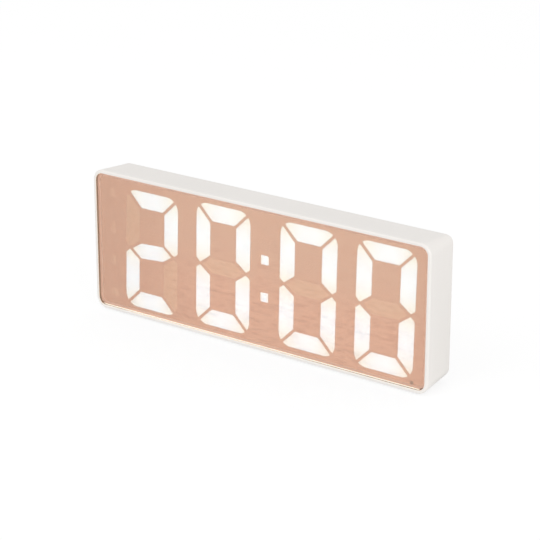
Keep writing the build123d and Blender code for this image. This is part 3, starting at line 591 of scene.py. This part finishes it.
@dataclass(frozen=True)
class WhiteFloor(Finish):
    """Seamless white paper, bright enough to reach white, that darkens a little in the shadow."""

    glow: float = 0.81
    white: Span = (0.84, 0.86)
    fibre: float = 60.0
    seen_share: float = 0.26
    bounce: Span = (1.0, 0.6)
    bounce_y: Span = (-18.0, 12.0)
    front_glow: float = 0.2
    front_y: Span = (-40.0, -12.5)
    front_half_width: float = 82.0

    def shader(self, add: Adder, place: Socket) -> Node:
        """Add a steady glow for seen rays to a weakly reflecting paper, which is clear from below.

        The light that it throws back on the clock falls off from the front to the back. A strip at
        the foot of the display glows for the rays that are not seen: painted light on the clock's lower
        rim.
        """
        x, y, _ = add("SeparateXYZ", {"Vector": place}).outputs
        seen = seen_rays(add)
        fibre = add("TexNoise", {"Vector": place, "Scale": per_metre(self.fibre), "Detail": 1.0})
        paper = add("MapRange", {"Value": fibre, TO: self.white})
        bounce = add("MapRange", {"Value": y, FROM: metres(*self.bounce_y), TO: self.bounce})
        share = add("MapRange", {"Value": seen, TO: (bounce, self.seen_share)})
        level = add("Math", {0: paper, 1: share}, operation="MULTIPLY")
        body = add("BsdfDiffuse", {"Color": level})
        # Painted light: a glowing strip before the display, for unseen rays only.
        strip = add("MapRange", {"Value": y, FROM: metres(*self.front_y)})
        before = add("Math", {0: y, 1: self.front_y[1] * MM}, operation="LESS_THAN")
        across = add("Math", {0: x}, operation="ABSOLUTE")
        beside = add("Math", {0: across, 1: self.front_half_width * MM}, operation="LESS_THAN")
        both = add("Math", {0: before, 1: beside}, operation="MULTIPLY")
        patch = add("Math", {0: both, 1: strip}, operation="MULTIPLY")
        unseen = add("Math", {0: patch, 1: self.front_glow}, operation="MULTIPLY")
        steady = add("MapRange", {"Value": seen, TO: (unseen, self.glow)})
        light = add("Emission", {"Color": WHITE, "Strength": steady})
        top = add("AddShader", {0: body, 1: light})
        below = add("NewGeometry").outputs["Backfacing"]
        return add("MixShader", {0: below, 1: top, 2: add("BsdfTransparent")})


class Finishes:
    """Every finish of the clock, named for its real material and its making."""

    shell = MouldedPlastic("ABS_white_spark_textured")
    door = MouldedPlastic("ABS_white_spark_textured_door", roughness=0.46)
    acrylic = ClearAcrylic("Acrylic_clear_polished")
    sawn = SawnEdge("Acrylic_sawn_edge_painted_light_and_shade")
    mirror = HalfMirror("Polyester_film_rose_gold_metallised")
    rim = GluedRim("Polyester_film_glued_rim_painted_light")
    backing = ClearBacking("Polyester_film_clear_back")
    mask = MouldedPlastic(
        "Ink_black_screen_printed", colour="0B0A0A", tone="12100F", roughness=0.6, grain=0.2)
    foam = MouldedPlastic(
        "PE_foam_tape_dark_brown", colour="4E2C16", tone="40230F", roughness=0.9, grain=0.4,
        grain_height=0.06)
    reflector = MouldedPlastic(
        "ABS_white_moulded_reflector", colour="F2F1EE", tone="ECEAE6", roughness=0.5)
    lit = LitDiffuser("Acrylic_opal_lit")
    unlit = UnlitDiffuser("Acrylic_opal_unlit")
    unlit_icon = UnlitDiffuser("Acrylic_opal_unlit_icons", strength=0.1)
    board = SolderMask("Glass_epoxy_green_solder_mask")
    lamp = MouldedPlastic(
        "Silicone_phosphor_cast", colour="E8D98A", tone="DCCB74", roughness=0.35, grain=0.15)
    sensor = MouldedPlastic(
        "Epoxy_black_cast_sensor", colour="141216", tone="1C1A20", roughness=0.15, grain=0.3)
    screw = PlatedMetal(
        "Steel_zinc_plated_screws", colour="B9BCC1", tone="A3A6AB", roughness=0.32)
    black = MouldedPlastic(
        "PBT_black_moulded", colour="191A1C", tone="222326", roughness=0.45, grain=0.25)
    tinned = PlatedMetal("Copper_tinned_leads", colour="D0D1D3", tone="BFC0C2", roughness=0.28)
    chips = MouldedPlastic(
        "Ceramic_brown_fired_chips", colour="8A6B4C", tone="775A3E", roughness=0.5, grain=0.3)
    spring = PlatedMetal(
        "Steel_nickel_plated_stamped", colour="CFCDC8", tone="BDBBB5", roughness=0.26)
    can = PlatedMetal("Steel_nickel_drawn_can", colour="D2D2D1", tone="C4C4C3", roughness=0.2)
    sleeve = PrintedSleeve("PVC_sleeve_printed_shrunk")
    key = MouldedPlastic(
        "ABS_pale_grey_satin_keys", colour="D6D4CF", tone="CFCCC7", roughness=0.38, grain=0.3)
    plunger = MouldedPlastic(
        "POM_black_moulded_plungers", colour="1D1D1F", tone="262628", roughness=0.4, grain=0.3)
    knob = MouldedPlastic(
        "POM_black_moulded_knob", colour="1A1A1C", tone="242427", roughness=0.4, grain=0.25)
    rubber = MouldedPlastic(
        "Silicone_grey_die_cut_feet", colour="A9A8A4", tone="9B9A96", roughness=0.7, grain=0.5)


def dress(names: list[str], finish: Finish) -> None:
    """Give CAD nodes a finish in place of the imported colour.

    Args:
        names: The nodes.
        finish: What they are made of.
    """
    for name in names:
        node = frame["nodes"][name]
        node.data.materials.clear()
        node.data.materials.append(finish.material())
        LOG.info("dressed %s as %s", name, finish.name)


def make_piece(
    name: str,
    points: np.ndarray,
    faces: Faces,
    finishes: list[Finish],
    slots: np.ndarray | None = None,
    attribute: tuple[str, np.ndarray] | None = None,
    smooth: bool = False,
) -> bpy.types.Object:
    """Turn arrays into an object at the origin.

    Args:
        name: The piece's name.
        points: N by 3 points in millimetres.
        faces: Corner numbers of each face, turning to face outwards.
        finishes: The materials, in the order that slots names them.
        slots: Material number of each face, or None for the first.
        attribute: A name, and a value or three of them for each point, for a shader to read.
        smooth: Whether the faces shade smoothly.

    Returns:
        The object.
    """
    mesh = bpy.data.meshes.new(name)
    mesh.from_pydata((points * MM).tolist(), [], faces)
    for finish in finishes:
        mesh.materials.append(finish.material())
    if slots is not None:
        mesh.polygons.foreach_set("material_index", slots.astype(np.int32))
    if attribute is not None:
        label, values = attribute
        kind, key = ("FLOAT", "value") if values.ndim == 1 else ("FLOAT_VECTOR", "vector")
        layer = mesh.attributes.new(label, kind, "POINT")
        layer.data.foreach_set(key, values.astype(np.float32).ravel())
    mesh.polygons.foreach_set("use_smooth", np.full(len(faces), smooth))
    mesh.update()
    piece = bpy.data.objects.new(name, mesh)
    bpy.context.scene.collection.objects.link(piece)
    LOG.info("made %s with %d faces", name, len(faces))
    return piece


def offset_outline(outline: np.ndarray, inward: float) -> np.ndarray:
    """Move every side of a closed outline inwards by the same distance.

    Each corner moves along the sum of its two sides' normals, divided by one plus their dot
    product, which is the point where the two moved sides meet.

    Args:
        outline: N by 2 corners, anticlockwise.
        inward: The distance, negative to grow.

    Returns:
        The moved corners.
    """
    ahead = np.roll(outline, -1, axis=0) - outline
    ahead /= np.linalg.norm(ahead, axis=1, keepdims=True)
    normal = np.stack([-ahead[:, 1], ahead[:, 0]], axis=1)
    before = np.roll(normal, 1, axis=0)
    meet = (normal + before) / (1.0 + np.sum(normal * before, axis=1, keepdims=True))
    return outline + inward * meet


def ring_faces(rings: int, around: int, first: int = 0) -> Faces:
    """Quads between rings of points that follow each other.

    Args:
        rings: Number of rings.
        around: Points on each ring.
        first: Number of the first point.

    Returns:
        Corner numbers, facing out when rings turn anticlockwise towards their last.
    """
    ring, step = np.meshgrid(np.arange(rings - 1), np.arange(around), indexing="ij")
    here = first + ring * around + step
    beside = first + ring * around + (step + 1) % around
    quads = np.stack([here, beside, beside + around, here + around], axis=-1)
    return [tuple(quad) for quad in quads.reshape(-1, 4).tolist()]


def box_shares(outline: np.ndarray) -> np.ndarray:
    """Where each corner lies in the outline's box, from -1 to 1 along its longer side and its shorter.

    Args:
        outline: N by 2 corners.

    Returns:
        N by 3 of the share along, the share across and zero.
    """
    low, high = outline.min(axis=0), outline.max(axis=0)
    shares = (2 * outline - low - high) / (high - low)
    longer = int(np.argmax(high - low))
    return np.stack([shares[:, longer], shares[:, 1 - longer], np.zeros(len(outline))], axis=1)


def plate(
    rings: list[np.ndarray], depths: list[float], first: int = 0
) -> tuple[np.ndarray, Faces]:
    """Closed plate that faces the viewer: ring k lies at Y = depths[k], and both ends are flat.

    Args:
        rings: Outlines of X and Z with as many corners each, anticlockwise as the viewer sees
            them, from the back to the front.
        depths: Y of each ring.
        first: Number of the first point.

    Returns:
        The points, and the faces: the sides, then the back, then the front.
    """
    around = len(rings[0])
    flat = np.concatenate(rings)
    points = np.stack([flat[:, 0], np.repeat(depths, around), flat[:, 1]], axis=1)
    faces = ring_faces(len(rings), around, first)
    faces.append(tuple(range(first + around - 1, first - 1, -1)))
    last = first + (len(rings) - 1) * around
    faces.append(tuple(range(last, last + around)))
    return points, faces


def rounded_rectangle(width: float, height: float, radius: float, steps: int = 10) -> np.ndarray:
    """Outline with quarter circles of the radius at its corners, anticlockwise.

    Args:
        width: Full width.
        height: Full height.
        radius: Corner radius.
        steps: Points on each corner.

    Returns:
        The corners, N by 2.
    """
    turn = np.linspace(0.0, np.pi / 2, steps)
    starts = np.repeat(np.arange(4) * np.pi / 2, steps)
    angle = starts + np.tile(turn, 4)
    side_x = np.repeat([1.0, -1.0, -1.0, 1.0], steps)
    side_z = np.repeat([1.0, 1.0, -1.0, -1.0], steps)
    x = side_x * (width / 2 - radius) + radius * np.cos(angle)
    z = side_z * (height / 2 - radius) + radius * np.sin(angle)
    return np.stack([x, z], axis=1)


def turned(profile: np.ndarray, around: int) -> tuple[np.ndarray, Faces]:
    """Surface of revolution about X: each profile point (x, r) becomes the circle r cos t, r sin t.

    Args:
        profile: N by 2 of x and radius, from one pole to the other, both with radius zero.
        around: Points on each circle.

    Returns:
        Points and faces, closed at both poles.
    """
    angle = np.linspace(0.0, 2 * np.pi, around, endpoint=False)
    body = profile[1:-1]
    x = np.repeat(body[:, 0], around)
    y = (body[:, 1:2] * np.cos(angle)).ravel()
    z = (body[:, 1:2] * np.sin(angle)).ravel()
    poles = np.array([[profile[0, 0], 0.0, 0.0], [profile[-1, 0], 0.0, 0.0]])
    points = np.concatenate([np.stack([x, y, z], axis=1), poles])
    faces = ring_faces(len(body), around)
    start, end, last = len(points) - 2, len(points) - 1, (len(body) - 1) * around
    step = np.arange(around)
    beside = (step + 1) % around
    for pole, one, other in ((start, beside, step), (end, last + step, last + beside)):
        corners = np.stack([np.full(around, pole), one, other], axis=1)
        faces += [tuple(corner) for corner in corners.tolist()]
    return points, faces


class Housing:
    """White tub, its feet and the battery door."""

    def build(self) -> None:
        """Dress the shell, the feet and the door."""
        dress(["housing"], Finishes.shell)
        dress(["battery_door"], Finishes.door)
        dress(["front_feet", "rear_feet"], Finishes.rubber)


@dataclass(frozen=True)
class DigitPlace:
    """Where one digit stands, how it leans and the letters of its lit bars."""

    centre_x: float
    centre_z: float
    height: float
    slant: float
    middle_lean: float
    lit: str


@dataclass
class Display:
    """Panel, half mirror, mask, reflector and the bars that light up behind them.

    Sizes whose names end in front or back are depths behind front_y.
    """

    middle_z: float = 30.4
    front_y: float = -12.45
    film_width: float = 157.1
    film_height: float = 56.7
    film_corner: float = 3.35
    film_dull: float = 1.2
    bare_drop: float = 0.7
    film_front: float = 2.17
    film_back: float = 2.23
    lens_front: float = 2.5
    lens_thickness: float = 1.2
    lens_lap: float = 0.2
    digit_width: float = 26.4
    corner: float = 5.5
    bar: float = 7.0
    gap: float = 1.2
    tip_inset: float = 2.0
    tip_gap: float = 1.0
    shoulder_rise: float = 2.1
    inner_rise: float = 4.2
    middle_height: float = 6.4
    dot: float = 3.85
    dot_corner: float = 0.3
    dot_pitch: float = 15.4
    dot_x: float = 4.55
    panel_width: float = 157.16
    panel_height: float = 56.76
    panel_corner: float = 3.38
    panel_front: float = 0.15
    panel_back: float = 2.15
    panel_bevel: float = 0.09
    places: tuple[DigitPlace, ...] = (
        DigitPlace(-51.35, -1.0, 50.0, 1.9, 0.38, "ABDEG"),
        DigitPlace(-15.65, 0.0, 51.0, 1.2, 0.0, "ABCDEF"),
        DigitPlace(24.75, 0.0, 51.0, 1.2, 0.0, "ABCDEF"),
        DigitPlace(59.75, 0.0, 51.0, 1.2, 0.0, "ABCDEF"),
    )

    def build(self) -> None:
        """Dress the stack, and make the film and the lit bars."""
        dress(["display_mask"], Finishes.mask)
        dress(["panel_tape"], Finishes.foam)
        dress(["reflector_block"], Finishes.reflector)
        dress([f"digit_{n}_dark_lenses" for n in range(1, 5)], Finishes.unlit)
        dress(["icon_lenses"], Finishes.unlit_icon)
        dress(["display_lamps"], Finishes.lamp)
        dress(["light_sensor"], Finishes.sensor)
        self.make_panel()
        self.make_film()
        for number, place in enumerate(self.places, start=1):
            outlines = [
                self.placed(self.bar_outline(bar, place), place) for bar in map(Bar, place.lit)]
            self.make_bars(f"digit_{number}_lit_bars", f"digit_{number}_lit_lenses", outlines)
        lean = math.tan(math.radians(self.places[1].slant))
        dots = []
        for side in (-1.0, 1.0):
            rise = side * self.dot_pitch / 2
            dot = rounded_rectangle(self.dot, self.dot, self.dot_corner, 5)
            dots.append(dot + (self.dot_x + rise * lean, rise))
        self.make_bars("colon_dots", "colon_lenses", dots)

    def make_panel(self) -> None:
        """Clear sheet with sawn edges and a fine sawn bevel round its front, painted with light and
        shade.
        """
        outline = rounded_rectangle(self.panel_width, self.panel_height, self.panel_corner, 12)
        outline = outline + (0.0, self.middle_z)
        front = self.front_y + self.panel_front
        points, faces = plate(
            [outline, outline, offset_outline(outline, self.panel_bevel)],
            [self.front_y + self.panel_back, front + self.panel_bevel, front])
        slots = np.full(len(faces), SheetFace.EDGE.value)
        slots[-2:] = SheetFace.FRONT.value
        layers = [Finishes.acrylic, Finishes.sawn]
        panel = make_piece("clear_panel", points, faces, layers, slots)
        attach(panel, "clock")
        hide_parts("mirror_panel")

    def make_film(self) -> None:
        """Thin closed sheet: half mirror in front, matt glued rim with painted light and shade, and
        clear behind.
        """
        outline = rounded_rectangle(self.film_width, self.film_height, self.film_corner)
        outline = outline + (0.0, self.middle_z)
        front = self.front_y + self.film_front
        points, faces = plate(
            [outline, outline, offset_outline(outline, self.film_dull)],
            [self.front_y + self.film_back, front, front])
        slots = np.full(len(faces), SheetFace.EDGE.value)
        slots[-2:] = SheetFace.BACK.value, SheetFace.FRONT.value
        low, high = (np.array(corner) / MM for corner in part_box("light_sensor"))
        across, _, up = (low + high) / 2
        mirror = replace(Finishes.mirror, bare_place=(float(across), float(up) - self.bare_drop))
        layers = [mirror, Finishes.rim, Finishes.backing]
        film = make_piece("half_mirror", points, faces, layers, slots)
        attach(film, "clock")
        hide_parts("mirror_film")

    def placed(self, outline: np.ndarray, place: DigitPlace) -> np.ndarray:
        """Move an outline to its digit, and X further by z times the tangent of the slant."""
        x = place.centre_x + outline[:, 0] + outline[:, 1] * math.tan(math.radians(place.slant))
        return np.stack([x, place.centre_z + outline[:, 1]], axis=1)

    def bar_outline(self, bar: Bar, place: DigitPlace) -> np.ndarray:
        """Outline of one bar about the digit's centre, anticlockwise.

        The top bar's end follows the digit's corner circle down to where its mitre, the line
        x - z = right - top - mitre, cuts the circle. The side bar is the same end turned over the
        diagonal, and runs down to the waist. The middle bar is a hexagon, and the rest are mirror
        images of the first two.

        Args:
            bar: Which of the seven.
            place: The digit.

        Returns:
            The corners, N by 2.
        """
        right, top = self.digit_width / 2, place.height / 2
        inner_x, inner_z = right - self.bar, top - self.bar
        mitre = self.gap / math.sqrt(2.0)
        reach = (mitre + math.sqrt(2.0 * self.corner**2 - mitre**2)) / 2
        cut = math.atan2(reach, reach - mitre)
        slope = (self.inner_rise - self.tip_gap / 2) / (self.bar - self.tip_inset)
        if bar is Bar.MIDDLE:
            drop = self.gap * math.hypot(1.0, slope)
            tip = right - self.tip_inset - (drop - self.tip_gap / 2) / slope
            half = self.middle_height / 2
            shoulder, lean = tip - half / slope, place.middle_lean
            return np.array([
                (tip, 0.0), (shoulder, half + lean), (-shoulder, half - lean), (-tip, 0.0),
                (-shoulder, -half - lean), (shoulder, lean - half)])
        level = bar in (Bar.TOP, Bar.BOTTOM)
        angle = np.linspace(cut, np.pi / 2, 9) if level else np.linspace(0.0, np.pi / 2 - cut, 9)
        end_x = right - self.corner + self.corner * np.cos(angle)
        end_z = top - self.corner + self.corner * np.sin(angle)
        if level:
            x = np.concatenate([end_x, -end_x[::-1], [mitre - inner_x, inner_x - mitre]])
            z = np.concatenate([end_z, end_z[::-1], [inner_z, inner_z]])
        else:
            x = np.concatenate([end_x, [inner_x, inner_x, right - self.tip_inset, right]])
            z = np.concatenate([
                end_z, [inner_z - mitre, self.inner_rise, self.tip_gap / 2, self.shoulder_rise]])
        outline = np.stack([x, z], axis=1)
        flip_x = bar in (Bar.LOWER_LEFT, Bar.UPPER_LEFT)
        flip_z = bar in (Bar.LOWER_RIGHT, Bar.BOTTOM, Bar.LOWER_LEFT)
        outline = outline * (-1.0 if flip_x else 1.0, -1.0 if flip_z else 1.0)
        return outline[::-1] if flip_x != flip_z else outline

    def make_bars(self, name: str, node: str, outlines: list[np.ndarray]) -> None:
        """Opal plates that know, at each point, the share along and across the bar.

        Args:
            name: The new piece.
            node: The lenses that it stands for.
            outlines: The bars' outlines, N by 2, about the middle of the face.
        """
        front = self.front_y + self.lens_front
        points, faces, shares = [], [], []
        count = 0
        for outline in outlines:
            lapped = offset_outline(outline, -self.lens_lap) + (0.0, self.middle_z)
            some, more = plate([lapped, lapped], [front + self.lens_thickness, front], count)
            points.append(some)
            faces += more
            shares += 2 * [box_shares(lapped)]
            count += len(some)
        piece = make_piece(
            name, np.concatenate(points), faces, [Finishes.lit],
            attribute=("shares", np.concatenate(shares)))
        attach(piece, "clock")
        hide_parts(node)


class Controls:
    """Keys, switch, socket and the boards that carry them."""

    def build(self) -> None:
        """Dress everything in the row and on the boards."""
        keys = range(1, 6)
        dress([f"key_{n}" for n in keys], Finishes.key)
        dress([f"plunger_{n}" for n in keys], Finishes.plunger)
        dress(["slide_knob"], Finishes.knob)
        dress(["slide_switch", "power_socket"], Finishes.can)
        dress(["display_board", "control_board"], Finishes.board)
        dress(["frame_screws", "control_screws"], Finishes.screw)
        dress([
            "board_header", "clock_chip", "driver_chip", "buzzer", "socket_tongue",
            "press_switches", "coin_holder", "temperature_probe"], Finishes.black)
        dress(["chip_leads", "crystal"], Finishes.tinned)
        dress(["small_parts"], Finishes.chips)
        dress(["coin_cell"], Finishes.can)
        dress(["coin_clip"], Finishes.spring)


@dataclass
class PowerCells:
    """The row of cells and their contacts."""

    radius: float = 5.25
    length: float = 44.5
    nub_radius: float = 1.9
    nub_length: float = 1.0
    around: int = 48
    base_rows: int = 4
    cap_rows: int = 6

    def build(self) -> None:
        """Dress the contacts and make each cell with its sleeve, crimp and nub."""
        dress(["battery_contacts"], Finishes.spring)
        for number in range(1, 4):
            self.make_cell(number)

    def profile(self) -> np.ndarray:
        """Radius along a cell: flat base, rolled sleeve, crimp groove, shoulder and nub.

        Returns:
            N by 2 of x from the base and radius, in millimetres.
        """
        full, body = self.radius, self.length - self.nub_length
        sunk, groove, step = 0.15, 0.35, 0.2
        roll, rim, hollow, crimp = full - 0.5, full - 0.9, full - 1.1, body - 2.0
        return np.array([
            (sunk, 0.0), (sunk, hollow), (0.0, rim), (0.0, roll), (sunk, full - sunk),
            (0.5, full), (body * 0.25, full), (body * 0.5, full), (body * 0.75, full),
            (crimp - 0.6, full), (crimp - 0.2, full - groove), (crimp + 0.2, full - groove),
            (crimp + 0.6, full), (body - 0.5, full), (body - sunk, full - sunk), (body, roll),
            (body, rim), (body - step, hollow), (body - step, self.nub_radius + groove),
            (body, self.nub_radius), (self.length - step, self.nub_radius),
            (self.length, self.nub_radius - step), (self.length, 0.0)])

    def make_cell(self, number: int) -> None:
        """Turn one cell's profile about its axis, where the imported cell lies.

        Args:
            number: The cell's number, from the top; odd ones head to the viewer's right.
        """
        node = f"cell_{number}"
        low, high = (np.array(corner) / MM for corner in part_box(node))
        profile = self.profile()
        points, faces = turned(profile, self.around)
        along = points[:, 0] / self.length
        heading = Heading.RIGHT if number % 2 else Heading.LEFT
        start = low[0] if heading is Heading.RIGHT else high[0]
        middle = (low + high) / 2
        points = points * (heading.value, heading.value, 1.0) + (start, middle[1], middle[2])
        row = np.arange(len(profile) - 3)  # rows of faces, without the fans round the two poles
        metal = (row < self.base_rows) | (row >= len(row) - self.cap_rows)
        poles = np.ones(2 * self.around, bool)
        slots = np.concatenate([np.repeat(metal, self.around), poles]).astype(int)
        cell = make_piece(
            f"dressed_cell_{number}", points, faces, [Finishes.sleeve, Finishes.can],
            slots, ("along", along), smooth=True)
        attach(cell, "clock")
        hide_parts(node)


@dataclass
class Studio:
    """White room: a pale floor, soft light from the front and above, and the photograph's camera."""

    azimuth: float = 35.81
    elevation: float = 20.20
    distance: float = 783.5
    lens: float = 136.11
    aim: Triple = (8.2, -12.45, 35.32)
    ambient: float = 0.757
    key_power: float = 5.0
    side_power: float = 7.8
    lamp_distance: float = 1500.0
    lamp_aim: float = 30.0
    floor_reach: float = 3000.0

    def build(self) -> None:
        """Set up the camera, the floor, the world and the lamps."""
        scene = bpy.context.scene
        scene.view_settings.view_transform = "Standard"
        self.make_camera()
        self.make_floor()
        self.make_world()
        self.make_lamp("key_lamp", azimuth=-25.0, elevation=36.0, power=self.key_power, size=1.2)
        self.make_lamp("side_lamp", azimuth=70.0, elevation=12.0, power=self.side_power, size=0.9)

    def direction(self, azimuth: float, elevation: float) -> np.ndarray:
        """Unit vector from the clock towards a place, with azimuth 0 in front and 90 at the right."""
        a, e = math.radians(azimuth), math.radians(elevation)
        return np.array([math.sin(a) * math.cos(e), -math.cos(a) * math.cos(e), math.sin(e)])

    def aimed(
        self, item: bpy.types.Object, target: np.ndarray, away: np.ndarray, distance: float
    ) -> None:
        """Stand an object away from a target and turn it to look there.

        Args:
            item: The camera or lamp.
            target: Where it looks, in metres.
            away: Unit vector from the target to it.
            distance: How far off it stands, in metres.
        """
        item.location = Vector(target + away * distance)
        item.rotation_mode = "QUATERNION"
        item.rotation_quaternion = Vector(-away).to_track_quat("-Z", "Y")

    def make_camera(self) -> None:
        """Place the camera where the photograph was taken from."""
        data = bpy.data.cameras.new("camera")
        data.sensor_width = 36.0
        data.lens = self.lens
        camera = bpy.data.objects.new("camera", data)
        bpy.context.scene.collection.objects.link(camera)
        away = self.direction(self.azimuth, self.elevation)
        self.aimed(camera, np.array(self.aim) * MM, away, self.distance * MM)
        data.clip_start, data.clip_end = 0.01, 20.0
        bpy.context.scene.camera = camera

    def make_floor(self) -> None:
        """White floor that shows as white and still keeps the clock's soft shadow."""
        corners = np.array([(-1.0, -1.0, 0.0), (1.0, -1.0, 0.0), (1.0, 1.0, 0.0), (-1.0, 1.0, 0.0)])
        paper = WhiteFloor("Paper_white_seamless")
        floor = make_piece("floor", self.floor_reach * corners, [(0, 1, 2, 3)], [paper])

    def make_world(self) -> None:
        """White surroundings at strength 1 for what is seen, and at the ambient level for light."""
        world = bpy.data.worlds.new("white_room")
        bpy.context.scene.world = world
        world.use_nodes = True
        world.node_tree.nodes.clear()
        add = partial(add_node, world.node_tree)
        level = add("MapRange", {"Value": seen_rays(add), TO: (self.ambient, 1.0)})
        sky = add("Background", {"Color": WHITE, "Strength": level})
        add("OutputWorld", {"Surface": sky})

    def make_lamp(self, name: str, azimuth: float, elevation: float, power: float, size: float) -> None:
        """Hang one soft square lamp.

        Args:
            name: The lamp's name.
            azimuth: Where it hangs round the clock, in degrees.
            elevation: How high it hangs, in degrees.
            power: Its power in watts.
            size: Its side in metres.
        """
        data = bpy.data.lights.new(name, "AREA")
        data.energy, data.size = power, size
        lamp = bpy.data.objects.new(name, data)
        bpy.context.scene.collection.objects.link(lamp)
        away = self.direction(azimuth, elevation)
        self.aimed(lamp, np.array([0.0, 0.0, self.lamp_aim * MM]), away, self.lamp_distance * MM)


def clear_defaults() -> None:
    """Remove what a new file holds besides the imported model."""
    ours = set(frame["nodes"].values()) | set(frame["bodies"].values())
    for item in list(bpy.data.objects):
        if item not in ours:
            bpy.data.objects.remove(item)


def main() -> None:
    """Build the clock's sub-assemblies in order, then the studio."""
    logging.basicConfig(level=logging.INFO, format="%(message)s")
    clear_defaults()
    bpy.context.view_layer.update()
    for part in (Housing(), Display(), Controls(), PowerCells(), Studio()):
        part.build()
        LOG.info("built %s", type(part).__name__)


if __name__ == "__main__":
    main()
